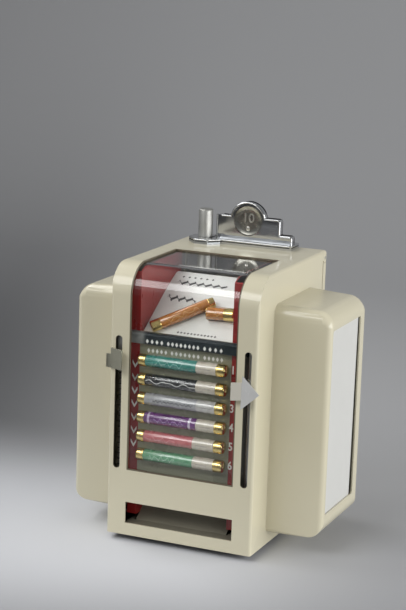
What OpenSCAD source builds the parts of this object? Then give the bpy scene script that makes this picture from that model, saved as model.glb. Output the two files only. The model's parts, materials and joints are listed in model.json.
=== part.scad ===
// Counter-top perfume vending machine with a napkin dispenser on each side.
// Millimetres. The machine stands on z = 0, its front faces -Y and x = 0 is the middle of the body.

/* [Cabinet] */
// Width of the sheet-metal body
body_w = 150; // [146:1:170]
// Depth of the body, front face to rear face
body_d = 176; // [172:1:200]
// Height of the body above its lower edge
body_h = 264; // [262:1:300]
// Thickness of the cabinet sheet
sheet = 1.5; // [1.2:0.1:2]
// Radius of the bend from the front to the top
shoulder_r = 30; // [24:1:38]
// Radius of the cabinet's long edges
edge_r = 3; // [2.5:0.5:5]
// Gap between the counter and the body's lower edge
foot_h = 6; // [4:0.5:10]
// Diameter of a rubber foot at its top
foot_d = 16; // [12:1:20]

/* [Window] */
// Width of the window opening
window_w = 110; // [106:1:112]
// Height of the window's lower edge above the body's lower edge
window_sill = 65; // [60:1:68]
// How far the window runs back over the top, from the front face
window_run = 101; // [90:1:120]
// Thickness of the clear pane
pane_t = 2.2; // [1.5:0.1:2.5]
// How far the pane reaches under the sheet all round
pane_lap = 4; // [2.5:0.5:4.5]
// Width of the dark gasket round the window
gasket_w = 1.2; // [0.8:0.1:2]

/* [Delivery opening] */
// Width of the delivery opening
delivery_w = 111; // [90:1:114]
// Height of the delivery opening
delivery_h = 21; // [18:1:26]
// Height of its lower edge above the body's lower edge
delivery_sill = 12; // [10:0.5:14]

/* [Scent tubes] */
// Length of a tube with its caps
tube_l = 89.6; // [84:0.2:92]
// Diameter of a tube
tube_d = 11.2; // [9:0.1:11.4]
// Length of the left brass cap
left_cap_l = 8.2; // [4:0.5:12]
// Length of the right brass cap
right_cap_l = 9.2; // [6:0.5:16]
// Height step from row to row
row_pitch = 18.5; // [17.5:0.25:18.5]
// Height of the lowest displayed tube above the body's lower edge
row_low = 80; // [78:0.5:81]
// Sideways offset of the magazine from the middle of the body
magazine_x = -3.6; // [-5:0.2:0]

/* [Magazine] */
// Thickness of the magazine sheet
plate_t = 1.2; // [0.8:0.1:1.5]
// Depth from the front face to the display panel
panel_setback = 15.5; // [15:0.1:16.5]
// Depth of the shaft that a released tube falls through
drop_depth = 15; // [14:0.5:18]
// Slope of the shelves towards the front, in degrees
shelf_slope = 6; // [3:0.5:7]
// Depth of a shelf along its slope
shelf_l = 105; // [80:1:105]
// Height of the flap of a release gate above its spindle
gate_h = 11.5; // [9:0.5:12]
// Diameter of a gate spindle
spindle_d = 3; // [2:0.5:3.5]

/* [Display] */
// Height of the header bar's lower edge above the body's lower edge
header_low = 188; // [186:1:190]
// Height of the header bar
header_h = 11; // [8:1:13]
// Depth of the header bar
header_t = 6; // [3:0.5:7]
// How far the display card reaches back from the front face
card_reach = 100; // [94:0.5:101]
// Depth of the display card's rear edge below the top of the body
card_drop = 17; // [15:1:22]
// Thickness of the display card
card_t = 1; // [0.6:0.1:2]
// Length of the sample barrel on the card
sample_l = 65; // [50:1:72]
// Length of the sample's loose cap
sample_cap_l = 28; // [20:1:34]

/* [Levers] */
// Distance of the lever slots from the body's sides
slot_inset = 9.2; // [9:0.1:10]
// Width of a lever slot
slot_w = 7; // [5:0.5:7.5]
// Height of a slot's lower end above the body's lower edge
slot_low = 65.6; // [60:0.5:68]
// Length of a lever slot
slot_l = 130; // [126:1:136]
// Height of the operating lever at rest above the body's lower edge
operate_z = 170.5; // [168:0.5:172]
// Height of the selector pointer at rest above the body's lower edge
select_z = 157.5; // [150:0.5:170]
// Diameter of the guide rods
rod_d = 5; // [4:0.5:6]
// Wire diameter of the return spring
spring_wire = 0.9; // [0.7:0.1:1.2]
// Turns of the return spring
spring_turns = 28; // [20:1:30]

/* [Napkin wings] */
// How far a wing stands out from the body
wing_w = 56; // [50:1:70]
// Depth of a wing where it meets the body
wing_d = 104; // [100:1:116]
// How far the middle of a wing lies behind the middle of the body
wing_back = 2; // [0:0.5:4]
// Height of a wing's lower edge above the body's lower edge
wing_low = 12; // [8:1:16]
// Height of a wing where it meets the body
wing_h = 222; // [210:1:230]
// Thickness of the wing sheet
wing_sheet = 1.5; // [1:0.1:2]
// How much the top and bottom draw in towards the outer face
wing_draft = 3; // [0:0.5:5]
// How much the front and rear draw in towards the outer face
wing_taper = 1.5; // [0:0.5:2]
// Radius of a wing's outer corners, seen from the front
wing_corner_r = 15.5; // [9:0.5:18]
// Radius of a wing's front and rear edges
wing_edge_r = 6; // [4:0.5:8]
// Width of the napkin opening
napkin_open_w = 79; // [70:1:82]
// Height of the napkin opening
napkin_open_h = 178; // [140:1:178]
// Thickness of the napkin stack
napkin_t = 30; // [20:1:32]
// Travel of a napkin follower
follower_travel = 12; // [8:1:14]

/* [Coin head] */
// Depth of the coin head's base
head_d = 23; // [22:0.5:26]
// Distance of the base's rear edge from the rear of the body
head_rear = 3; // [2:0.5:4]
// Height of the base
head_base_h = 5; // [3:0.5:6]
// Thickness of the upright plate
head_plate_t = 7; // [5:0.5:8]
// Radius of the round part of the plate
head_ring_r = 18.6; // [17:0.1:22]
// Radius of the disc let into the plate
disc_r = 15.3; // [12:0.1:16]
// Height of the disc's centre above the top of the body
disc_z = 24.4; // [23.5:0.1:28]
// Diameter of the coin post
post_d = 14.4; // [10:0.2:16]
// Height of the coin post above the base
post_h = 28; // [18:0.5:32]
// Width of the coin slot
coin_slot_w = 2.4; // [2:0.1:3]
// Length of the coin slot
coin_slot_l = 25; // [22:0.5:26]

/* [Rear door] */
// Depth of the door pan
door_d = 9; // [8:0.5:10]
// Width of the open seam at the door's side edges
door_seam = 1.6; // [1:0.1:2]
// Depth of the hinge pins below the top of the body
pin_drop = 7; // [6.5:0.25:8]
// Distance of the hinge pins from the rear face
pin_back = 3.2; // [3:0.1:3.5]
// Diameter of the hinge pins
pin_d = 3; // [2.5:0.1:3.5]
// Distance of the lock from the middle of the body
lock_x = 58; // [56:0.5:59]
// Height of the lock above the body's lower edge
lock_z = 40; // [35:1:60]
// Diameter of the lock barrel
lock_d = 15; // [14:0.5:15.5]

/* [Fits] */
// Gap between pieces that move past each other
clear = 0.4; // [0.3:0.05:0.5]
// Radial gap of a shaft in its bore
fit = 0.05; // [0.03:0.01:0.09]

/* [Hidden] */
$fn = 48;
row_count = 6;
cabinet_colour = "#d9d2ba";
magazine_colour = "#7a1c1c";
steel_colour = "#9a9a94";
chrome_colour = "#c9cbcc";
brass_colour = "#c9a64a";
dark_colour = "#2f3133";
paper_colour = "#f2f1ec";
tube_colours = ["#1f8a7c", "#1c1c1f", "#9a9ca3", "#6b3fa0", "#cf5f78", "#3f9a6a"];

half_w = body_w / 2;
ridge_out = 9;
lock_face = 2.5;
lever_reach = ridge_out + 0.7 * sheet;
front_y = (lever_reach - lock_face - body_d) / 2;
rear_y = front_y + body_d;
mid_y = (front_y + rear_y) / 2;
low_z = foot_h;
top_z = foot_h + body_h;
in_half_w = half_w - sheet;
in_front_y = front_y + sheet;
in_top_z = top_z - sheet;
through = 2;
touch = 0.1;
screw_d = 3;
screw_head_h = 1.8;

base_z = low_z + 2;
base_top_z = base_z + sheet;
seam_y = rear_y - door_d;

tube_r = tube_d / 2;
tube_end_gap = 2.4;
panel_y = front_y + panel_setback;
mag_left_x = magazine_x - tube_l / 2 - tube_end_gap;
mag_right_x = magazine_x + tube_l / 2 + tube_end_gap;
nose_y = panel_y + plate_t + drop_depth;
seat_flat = 0.3;
tube_y = panel_y - tube_r + seat_flat;
stock_count = floor((shelf_l - 2) / (tube_d + 0.15));
shelf_run = shelf_l * cos(shelf_slope);
shelf_rise = shelf_l * sin(shelf_slope);
mag_rear_y = nose_y + shelf_run;
nose_drop = tube_r + 1;
spindle_drop = 4.6;
gate_y = nose_y - clear - plate_t / 2;
spindle_left_x = mag_left_x - plate_t - 6.4;
spindle_right_x = mag_right_x + plate_t + 1.5;

function row_z(n) = low_z + row_low + (row_count - n) * row_pitch;
function nose_z(n) = row_z(n) - nose_drop;
function spindle_z(n) = nose_z(n) - spindle_drop;

slot_x = half_w - slot_inset;
slot_low_z = low_z + slot_low;
slot_top_z = slot_low_z + slot_l;
flange_x = slot_x - slot_w / 2 - 1.8;
rod_y = front_y + 9.2;
rod_low_z = low_z + 18;
rod_top_z = slot_top_z + 5;
bracket_t = 3;
bracket_in_x = flange_x + clear;
bracket_out_x = slot_x + 6;
bracket_y = front_y + 19;
carriage_w = 8;
carriage_front_y = in_front_y + pane_t + 0.6;
carriage_back_y = panel_y - 0.5;
rail_y = carriage_back_y + 2.6;
rail_t = 1.2;
operate_mid_z = low_z + operate_z;
operate_half = 10;
operate_top_z = rod_top_z - bracket_t - clear;
operate_low_z = operate_mid_z - operate_half;
select_mid_z = low_z + select_z;
select_half = 10;
stem_t = 2.6;
stem_half = 7.5;
lever_y = front_y - 3;
spring_low_z = rod_low_z + bracket_t + touch;
spring_top_z = operate_low_z - touch;
spring_r = rod_d / 2 + spring_wire / 2 + 0.9;

plate_low_z = low_z + 17;
plate_step_y = front_y + 62;
cash_h = 46;
plate_step_z = base_top_z + cash_h + 8;
plate_high_z = header_low + low_z + header_h;
card_low_y = panel_y + plate_t + 0.6;
card_low_z = low_z + header_low + header_h - 5;
card_run = front_y + card_reach - card_low_y;
card_rise = top_z - card_drop - card_low_z;
card_slope = atan2(card_rise, card_run);
card_l = norm([card_run, card_rise]);
card_rear_y = front_y + window_run + pane_lap + 2;
inner_skin = sheet + touch + pane_t + 1;

head_rear_y = rear_y - head_rear;
head_front_y = head_rear_y - head_d;
plate_front_y = head_front_y + 9;
head_left_x = -38.2;
head_step1_x = 31;
head_step2_x = 44;
head_right_x = 47;
step1_h = 28;
step2_h = 12.5;
disc_x = -3.3;
disc_recess = 2;
slot_gap_x = head_left_x - touch - coin_slot_w / 2;
post_x = slot_gap_x - coin_slot_w / 2 - touch - post_d / 2;
pad_r = 17;
pad_x = post_x + 3;
pad_y = head_rear_y - pad_r - 0.8;
coin_y = head_rear_y - 1.5 - coin_slot_l / 2 - 2;

chute_wall = 1;
chute_in_w = coin_slot_w + 0.6;
chute_in_l = coin_slot_l + 0.6;
chute_bend_z = in_top_z - 14;
chute_low_x = -in_half_w + 9.5;
chute_turn_z = chute_bend_z - 56;
cash_top_z = base_top_z + cash_h;
chute_end_z = cash_top_z + 3;
cash_wall = 1.2;
cash_left_x = -in_half_w + screw_head_h + 0.8;
cash_right_x = lock_x - lock_d / 2 - 4.5;
cash_front_y = plate_step_y + 3;
cash_rear_y = rear_y - sheet - 3.5;

pin_y = rear_y - pin_back;
pin_z = top_z - pin_drop;
lobe_r = 5;
tab_t = 1.5;
tab_r = pin_back;
skirt_z = pin_z - sqrt(lobe_r * lobe_r - pin_back * pin_back);
ear_z = pin_z - 2.6;
door_front_y = seam_y + door_seam;
lock_mid_z = low_z + lock_z;
lock_depth = 12;
plug_d = lock_d - 5;
cam_y = rear_y - sheet - lock_depth - 2;
cam_t = 1.6;
cam_l = min(14, in_half_w - lock_x - 1.5);
catch_l = 7;

wing_low_z = low_z + wing_low;
wing_top_z = wing_low_z + wing_h;
wing_out_x = half_w + wing_w;
wing_in_x = wing_out_x - wing_sheet;
napkin_mid_z = wing_low_z + wing_h / 2 + 2;
ledge_z = wing_low_z + wing_sheet + 12;
ledge_t = 1.2;
stack_out_x = wing_in_x - 0.6;
stack_in_x = stack_out_x - napkin_t;
open_mid_y = napkin_open_w / 2 - wing_d / 2 + wing_taper + wing_edge_r + 0.2;
stack_front_y = wing_sheet + wing_taper + 3.2 - wing_d / 2;
stack_rear_y = open_mid_y + napkin_open_w / 2 - 1.2;
stack_low_z = ledge_z + ledge_t + touch;
stack_top_z = wing_top_z - wing_sheet - wing_draft - 0.735 * (wing_corner_r - wing_sheet);
follower_t = 1.2;
follower_x = stack_in_x - 0.3 - follower_t;
follower_half_w = wing_d / 2 - wing_sheet - wing_taper * (stack_in_x - half_w) / wing_w - 0.9;
follower_top_z = wing_top_z - wing_sheet - wing_draft - 1;
push_wire = 1.6;
push_turns = 3.5;
push_r = 16;
wing_flange = 8;
wing_screw_y = wing_d / 2 - wing_flange / 2 - wing_sheet / 2;
wing_screw_z = [wing_low_z + 30, wing_low_z + wing_h / 2, wing_low_z + wing_h - 30];

// Shared shapes

function unit(v) = v / norm(v);
function corner_sides(pts, i) = let (n = len(pts), p = pts[i])
    [unit(pts[(i + n - 1) % n] - p), unit(pts[(i + 1) % n] - p)];
function corner_half(sides) = acos(sides[0] * sides[1]) / 2;

// An outline whose convex corners are rounded, each by its own radius (0 leaves it sharp).
module soft_polygon(pts, radii) {
    polygon([for (i = [0 : len(pts) - 1])
        let (sides = corner_sides(pts, i), run = radii[i] / tan(corner_half(sides)))
        for (side = radii[i] > 0 ? sides : [sides[0]]) pts[i] + side * run]);
    for (i = [0 : len(pts) - 1])
        if (radii[i] > 0) {
            sides = corner_sides(pts, i);
            translate(pts[i] + unit(sides[0] + sides[1]) * radii[i] / sin(corner_half(sides)))
                circle(radii[i]);
        }
}

module along_x(length) {
    rotate([90, 0, 90])
        linear_extrude(length, center = true)
            children();
}

module along_y(length) {
    rotate([90, 0, 0])
        linear_extrude(length, center = true)
            children();
}

module block(low, high) {
    translate(low)
        cube(high - low);
}

module bar_x(x0, x1, y, z, d) {
    translate([x0, y, z])
        rotate([0, 90, 0])
            cylinder(h = x1 - x0, d = d);
}

module bar_y(y0, y1, x, z, d) {
    translate([x, y1, z])
        rotate([90, 0, 0])
            cylinder(h = y1 - y0, d = d);
}

module bar_z(z0, z1, x, y, d) {
    translate([x, y, z0])
        cylinder(h = z1 - z0, d = d);
}

module both_sides() {
    children();
    mirror([1, 0, 0])
        children();
}

// Front, shoulder and top of the body as one prism, drawn in from the outer skin.
module wrap(inset, half) {
    y = front_y + inset;
    z = top_z - inset;
    along_x(2 * half)
        soft_polygon([[y, low_z - through], [rear_y + through, low_z - through], [rear_y + through, z], [y, z]],
            [0, 0, 0, shoulder_r - inset]);
}

// The whole body with its rounded edges, drawn in from the outer skin.
module body_form(inset, low, back) {
    x = half_w - inset;
    y = front_y + inset;
    z = top_z - inset;
    r = max(edge_r - inset, 0.5);
    intersection() {
        along_x(2 * x)
            soft_polygon([[y, low], [back, low], [back, z], [y, z]], [0, 0, 0, shoulder_r - inset]);
        along_y(3 * body_d)
            soft_polygon([[-x, low], [x, low], [x, z], [-x, z]], [0, 0, r, r]);
        translate([0, 0, low])
            linear_extrude(z - low)
                soft_polygon([[-x, y], [x, y], [x, back], [-x, back]], [r, r, 0, 0]);
    }
}

module window_block(shrink) {
    x = window_w / 2 - shrink;
    block([-x, front_y - through, low_z + window_sill + shrink],
        [x, front_y + window_run - shrink, top_z + through]);
}

module slot_shape(width, length) {
    square([width, length - width], center = true);
    for (s = [-1, 1])
        translate([0, s * (length - width) / 2])
            circle(d = width);
}

// A round-wire coil along +Z as one unbroken tube, eight rings to a turn and six sides to a ring.
ring_steps = 8;
wire_sides = 6;
function coil_point(i, length, r, wire, turns) = let (a = 360 * i / ring_steps, run = length - wire)
    [r * cos(a), r * sin(a), wire / 2 + run * i / (turns * ring_steps)];
function coil_ring(i, length, r, wire, turns) = let (a = 360 * i / ring_steps,
        c = coil_point(i, length, r, wire, turns))
    [for (s = [0 : wire_sides - 1]) let (b = 360 * s / wire_sides)
        c + wire / 2 * [cos(b) * cos(a), cos(b) * sin(a), sin(b)]];
function coil_gap(length, r, wire, turns) =
    min([for (i = [0 : ring_steps], j = [i + 6 : i + 2 * ring_steps])
        norm(coil_point(j, length, r, wire, turns) - coil_point(i, length, r, wire, turns))]) - wire;

module coil(length, r, wire, turns) {
    rings = turns * ring_steps;
    points = [for (i = [0 : rings]) each coil_ring(i, length, r, wire, turns)];
    walls = [for (i = [0 : rings - 1], s = [0 : wire_sides - 1])
        let (a = i * wire_sides + s, b = i * wire_sides + (s + 1) % wire_sides)
        each [[a, a + wire_sides, b], [b, a + wire_sides, b + wire_sides]]];
    near_end = [for (s = [1 : wire_sides - 2]) [0, s, s + 1]];
    far = rings * wire_sides;
    far_end = [for (s = [1 : wire_sides - 2]) [far, far + s + 1, far + s]];
    polyhedron(points, concat(walls, near_end, far_end), convexity = 10);
    echo(least_gap_of_coil = coil_gap(length, r, wire, turns));
}

// Cabinet

module cabinet_shell() {
    color(cabinet_colour)
        difference() {
            body_form(0, low_z, rear_y);
            body_form(sheet, low_z - through, rear_y - sheet);
            window_block(0);
            for (s = [-1, 1])
                translate([s * slot_x, front_y, (slot_low_z + slot_top_z) / 2])
                    along_y(4 * sheet)
                        slot_shape(slot_w, slot_l);
            block([-delivery_w / 2, front_y - through, low_z + delivery_sill],
                [delivery_w / 2, in_front_y + through, low_z + delivery_sill + delivery_h]);
            coin_slot(in_top_z - through, top_z + through, touch);
            rear_opening();
            bar_x(-half_w - through, half_w + through, pin_y, pin_z, pin_d + 2 * fit);
            head_screw_holes();
            on_right()
                both_sides()
                    wing_screw_holes(in_half_w - through, half_w + through);
        }
}

// What the door fills, and the notches that its two hinge tabs swing through.
module rear_opening() {
    difference() {
        block([-half_w - through, seam_y, low_z - through], [half_w + through, rear_y + through, ear_z]);
        both_sides()
            bar_x(in_half_w, half_w + 2 * through, pin_y, pin_z, 2 * lobe_r);
        block([-in_half_w, rear_y - sheet, skirt_z], [in_half_w, rear_y, top_z]);
    }
    both_sides()
        block([in_half_w - tab_t - 2 * clear, rear_y - sheet - touch, low_z],
            [in_half_w, rear_y + through, pin_z + tab_r + 3 * clear]);
}

module coin_slot(z0, z1, grow) {
    block([slot_gap_x - coin_slot_w / 2 - grow, coin_y - coin_slot_l / 2 - grow, z0],
        [slot_gap_x + coin_slot_w / 2 + grow, coin_y + coin_slot_l / 2 + grow, z1]);
}

module base_plate() {
    color(dark_colour)
        difference() {
            block([-in_half_w, in_front_y + sheet + 0.2, base_z], [in_half_w, seam_y - 1, base_top_z + 9]);
            block([-in_half_w + sheet, in_front_y, base_top_z], [in_half_w - sheet, seam_y, base_top_z + 10]);
        }
}

module feet() {
    color("#1d1d1d")
        for (x = [-1, 1], y = [front_y + 22, seam_y - 18])
            translate([x * (half_w - 18), y, 0])
                cylinder(h = base_z, d1 = foot_d - 3, d2 = foot_d);
}

module window_pane() {
    outer = sheet + touch;
    x = window_w / 2 + pane_lap;
    color("#cfe0e6", 0.35)
        difference() {
            intersection() {
                wrap(outer, x);
                block([-x - 1, front_y, low_z + window_sill - pane_lap],
                    [x + 1, front_y + window_run + pane_lap, top_z]);
            }
            wrap(outer + pane_t, x + 1);
        }
}

module window_gasket() {
    x = window_w / 2 + 1;
    color("#3a2a1c")
        difference() {
            intersection() {
                wrap(touch, x);
                window_block(touch / 2);
            }
            wrap(sheet, x + 1);
            window_block(gasket_w);
        }
}

// Rear door

module rear_door() {
    tab_x = in_half_w - clear;
    panel_top = pin_z - sqrt(pow(lobe_r + clear, 2) - pow(pin_back - sheet, 2));
    color(cabinet_colour)
        difference() {
            union() {
                difference() {
                    block([-half_w, door_front_y, low_z], [half_w, rear_y, ear_z - clear]);
                    block([-in_half_w, door_front_y - through, low_z + sheet],
                        [in_half_w, rear_y - sheet, top_z]);
                    block([-in_half_w, rear_y - 2 * sheet, panel_top], [in_half_w, rear_y + through, top_z]);
                }
                both_sides() {
                    bar_x(tab_x - tab_t, tab_x, pin_y, pin_z, 2 * tab_r);
                    block([tab_x - tab_t, pin_y - tab_r, panel_top - 12], [tab_x, rear_y, pin_z]);
                }
            }
            both_sides() {
                bar_x(tab_x + touch, half_w + through, pin_y, pin_z, 2 * (lobe_r + clear));
                bar_x(tab_x - tab_t - through, tab_x + touch, pin_y, pin_z, pin_d + 2 * fit);
            }
            bar_y(rear_y - 3 * sheet, rear_y + through, lock_x, lock_mid_z, lock_d + 2 * fit);
        }
}

module hinge_pins() {
    color(steel_colour)
        both_sides()
            bar_x(in_half_w - clear - tab_t - 1, half_w, pin_y, pin_z, pin_d);
}

module lock_barrel() {
    color(chrome_colour)
        difference() {
            union() {
                bar_y(rear_y - sheet - lock_depth, rear_y, lock_x, lock_mid_z, lock_d);
                bar_y(rear_y, rear_y + lock_face, lock_x, lock_mid_z, lock_d + 4);
                bar_y(rear_y - sheet - 4, rear_y - sheet, lock_x, lock_mid_z, lock_d + 5);
            }
            bar_y(rear_y - 3 * lock_depth, rear_y + 2 * lock_face, lock_x, lock_mid_z, plug_d + 2 * fit);
        }
}

module lock_plug() {
    color(steel_colour)
        difference() {
            bar_y(cam_y + cam_t, rear_y + lock_face, lock_x, lock_mid_z, plug_d);
            block([lock_x - 0.7, rear_y + lock_face - 6, lock_mid_z - 3.2],
                [lock_x + 0.7, rear_y + lock_face + 1, lock_mid_z + 3.2]);
        }
}

module lock_cam() {
    color(steel_colour)
        translate([lock_x, cam_y + cam_t / 2, lock_mid_z])
            along_y(cam_t) {
                circle(d = plug_d);
                translate([-plug_d / 2, 0])
                    square([plug_d, cam_l - plug_d / 2]);
                translate([0, cam_l - plug_d / 2])
                    circle(d = plug_d);
            }
}

module door_catch() {
    catch_y = cam_y + cam_t + 0.6;
    color(steel_colour) {
        block([in_half_w - catch_l, catch_y, lock_mid_z - 9], [in_half_w, catch_y + sheet, lock_mid_z + 9]);
        block([in_half_w - sheet, cam_y - 14, lock_mid_z - 9], [in_half_w, catch_y, lock_mid_z + 9]);
    }
}

// Napkin wings, drawn for the right side about the middle of a wing's depth

module on_right() {
    translate([0, mid_y + wing_back, 0])
        children();
}

module on_left() {
    translate([0, mid_y + wing_back, 0])
        mirror([1, 0, 0])
            children();
}

module wing_form(inset, x0) {
    x = wing_out_x - inset;
    y = wing_d / 2 - inset;
    z0 = wing_low_z + inset;
    z1 = wing_top_z - inset;
    rc = wing_corner_r - inset;
    re = wing_edge_r - inset;
    intersection() {
        along_y(2 * wing_d)
            soft_polygon([[x0, z0], [x, z0 + wing_draft], [x, z1 - wing_draft], [x0, z1]], [0, rc, rc, 0]);
        translate([0, 0, z0])
            linear_extrude(z1 - z0)
                soft_polygon([[x0, -y], [x, wing_taper - y], [x, y - wing_taper], [x0, y]], [0, re, re, 0]);
        along_x(3 * wing_out_x)
            soft_polygon([[-y, z0], [y, z0], [y, z1], [-y, z1]], [re, re, re, re]);
    }
}

module wing() {
    open_r = 3;
    flange_y = wing_d / 2 - wing_flange;
    color(cabinet_colour)
        difference() {
            union() {
                difference() {
                    wing_form(0, half_w);
                    wing_form(wing_sheet, half_w - through);
                    translate([wing_out_x, open_mid_y, napkin_mid_z])
                        along_x(4 * wing_sheet)
                            soft_polygon([
                                [-napkin_open_w / 2, -napkin_open_h / 2], [napkin_open_w / 2, -napkin_open_h / 2],
                                [napkin_open_w / 2, napkin_open_h / 2], [-napkin_open_w / 2, napkin_open_h / 2]],
                                [open_r, open_r, open_r, open_r]);
                }
                intersection() {
                    wing_form(wing_sheet / 2, half_w - through);
                    union() {
                        block([half_w, -wing_d, ledge_z], [stack_out_x - wing_corner_r, wing_d, ledge_z + ledge_t]);
                        difference() {
                            block([half_w, -wing_d, wing_low_z], [half_w + wing_sheet, wing_d, wing_top_z]);
                            block([half_w - 1, -flange_y, wing_low_z + wing_flange],
                                [half_w + 2 * wing_sheet, flange_y, wing_top_z - wing_flange]);
                        }
                    }
                }
            }
            wing_screw_holes(half_w - through, half_w + wing_sheet + through);
        }
}

module left_wing() {
    on_left()
        wing();
}

module right_wing() {
    on_right()
        wing();
}

module wing_screw_holes(x0, x1) {
    for (y = [-1, 1], z = wing_screw_z)
        bar_x(x0, x1, y * wing_screw_y, z, screw_d + 2 * fit);
}

module wing_screws() {
    color(steel_colour)
        on_right()
            both_sides()
                for (y = [-1, 1], z = wing_screw_z) {
                    bar_x(in_half_w, half_w + wing_sheet + 2, y * wing_screw_y, z, screw_d);
                    bar_x(in_half_w - screw_head_h, in_half_w, y * wing_screw_y, z, 2 * screw_d);
                }
}

module napkins() {
    color(paper_colour)
        block([stack_in_x, stack_front_y, stack_low_z], [stack_out_x, stack_rear_y, stack_top_z]);
}

module left_napkins() {
    on_left()
        napkins();
}

module right_napkins() {
    on_right()
        napkins();
}

module follower() {
    r = 4;
    y = follower_half_w;
    z0 = stack_low_z + clear;
    z1 = follower_top_z;
    color(steel_colour) {
        translate([follower_x + follower_t / 2, 0, 0])
            along_x(follower_t)
                soft_polygon([[-y, z0], [y, z0], [y, z1], [-y, z1]], [0, 0, r, r]);
        bar_x(follower_x - 3, follower_x, 0, napkin_mid_z, 2 * (push_r - push_wire - 1.2));
    }
}

module left_follower() {
    on_left()
        follower();
}

module right_follower() {
    on_right()
        follower();
}

module follower_spring() {
    color(steel_colour)
        translate([half_w + touch, 0, napkin_mid_z])
            rotate([0, 90, 0])
                coil(follower_x - half_w - 2 * touch, push_r, push_wire, push_turns);
}

module left_follower_spring() {
    on_right()
        rotate([0, 0, 180])
            follower_spring();
}

module right_follower_spring() {
    on_right()
        follower_spring();
}

// Coin head

// The upright plate's outline, stepped on the right and round in the middle, drawn in by inset.
module head_outline(inset) {
    low = head_base_h - 1;
    translate([head_left_x + inset, low])
        square([head_step1_x - head_left_x - 2 * inset, step1_h - low - inset]);
    translate([head_left_x + inset, low])
        square([head_step2_x - head_left_x - 2 * inset, step2_h - low - inset]);
    translate([disc_x, disc_z])
        circle(head_ring_r - inset);
}

module coin_head() {
    plate_mid_y = plate_front_y + head_plate_t / 2;
    bead = 1.6;
    bead_rise = 0.9;
    cove_h = 3.5;
    round_r = head_plate_t / 2 - 0.1;
    cove_left_x = head_left_x + head_plate_t;
    color(chrome_colour)
        translate([0, 0, top_z])
            difference() {
                union() {
                    linear_extrude(head_base_h) {
                        translate([pad_x, head_front_y])
                            square([head_right_x - pad_x, head_d]);
                        translate([pad_x, pad_y])
                            rotate([0, 0, 22.5])
                                circle(pad_r / cos(22.5), $fn = 8);
                    }
                    intersection() {
                        translate([0, plate_mid_y, 0])
                            along_y(head_plate_t)
                                head_outline(0);
                        linear_extrude(80)
                            soft_polygon([
                                [head_left_x, plate_front_y], [head_right_x, plate_front_y],
                                [head_right_x, plate_front_y + head_plate_t],
                                [head_left_x, plate_front_y + head_plate_t]],
                                [round_r, 0, 0, round_r]);
                    }
                    translate([0, plate_mid_y, 0])
                        along_y(head_plate_t + 2 * bead_rise)
                            intersection() {
                                difference() {
                                    head_outline(0);
                                    head_outline(bead);
                                }
                                translate([head_left_x + head_plate_t, 0])
                                    square([100, 100]);
                            }
                    translate([(cove_left_x + head_step2_x) / 2, plate_front_y, head_base_h])
                        along_x(head_step2_x - cove_left_x)
                            polygon([[-6, -0.5], [0.5, -0.5], [0.5, cove_h], [-2, cove_h / 3], [-6, 0]]);
                }
                translate([disc_x, plate_front_y + disc_recess, disc_z])
                    rotate([90, 0, 0])
                        cylinder(h = 20, r = disc_r + fit);
                translate([0, 0, -top_z])
                    coin_slot(top_z - 1, top_z + 20, 0);
                translate([0, 0, -top_z])
                    head_screw_holes();
            }
}

function head_screw_places() = [[-20, head_rear_y - 4], [36, head_rear_y - 4]];

module head_screw_holes() {
    for (p = head_screw_places())
        bar_z(in_top_z - through, top_z + head_base_h - 1, p[0], p[1], screw_d + 2 * fit);
}

module head_screws() {
    color(steel_colour)
        for (p = head_screw_places()) {
            bar_z(in_top_z, top_z + head_base_h - 1.2, p[0], p[1], screw_d);
            bar_z(in_top_z - screw_head_h, in_top_z, p[0], p[1], 2 * screw_d);
        }
}

module coin_post() {
    color(chrome_colour)
        translate([post_x, coin_y, top_z + head_base_h]) {
            cylinder(h = post_h - 1, d = post_d);
            translate([0, 0, post_h - 1])
                cylinder(h = 1, d1 = post_d, d2 = post_d - 2);
        }
}

module coin_disc() {
    color(chrome_colour)
        translate([disc_x, plate_front_y + disc_recess, top_z + disc_z])
            rotate([90, 0, 0])
                difference() {
                    cylinder(h = disc_recess - 0.3, r = disc_r);
                    translate([0, 0, 0.8])
                        cylinder(h = disc_recess, r1 = disc_r - 3.2, r2 = disc_r - 1.2);
                }
}

// The chute steps sideways below the coin slot and then drops in the left rear corner.
module chute_shape(width, z_high, z_low_end) {
    w = width / 2;
    polygon([
        [slot_gap_x - w, z_high], [slot_gap_x - w, chute_bend_z], [chute_low_x - w, chute_turn_z],
        [chute_low_x - w, z_low_end], [chute_low_x + w, z_low_end], [chute_low_x + w, chute_turn_z],
        [slot_gap_x + w, chute_bend_z], [slot_gap_x + w, z_high]
    ]);
}

module coin_chute() {
    color(steel_colour)
        translate([0, coin_y, 0])
            difference() {
                along_y(chute_in_l + 2 * chute_wall)
                    chute_shape(chute_in_w + 2 * chute_wall, in_top_z, chute_end_z);
                along_y(chute_in_l)
                    chute_shape(chute_in_w, in_top_z + 1, chute_end_z - 1);
            }
}

module cash_box() {
    finger_d = 30;
    color(steel_colour)
        difference() {
            block([cash_left_x, cash_front_y, base_top_z], [cash_right_x, cash_rear_y, cash_top_z]);
            block([cash_left_x + cash_wall, cash_front_y + cash_wall, base_top_z + cash_wall],
                [cash_right_x - cash_wall, cash_rear_y - cash_wall, cash_top_z + 1]);
            bar_y(cash_rear_y - 3 * cash_wall, cash_rear_y + 1, (cash_left_x + cash_right_x) / 2, cash_top_z,
                finger_d);
        }
}

// Magazine

module side_plate_outline() {
    polygon([
        [panel_y, plate_low_z], [plate_step_y, plate_low_z], [plate_step_y, plate_step_z],
        [mag_rear_y, plate_step_z], [mag_rear_y, plate_high_z], [card_rear_y, plate_high_z],
        [card_rear_y, top_z], [panel_y, top_z]
    ]);
}

module spindle_holes(x0, x1) {
    for (n = [1 : row_count])
        bar_x(x0, x1, gate_y, spindle_z(n), spindle_d + 2 * fit);
}

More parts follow.
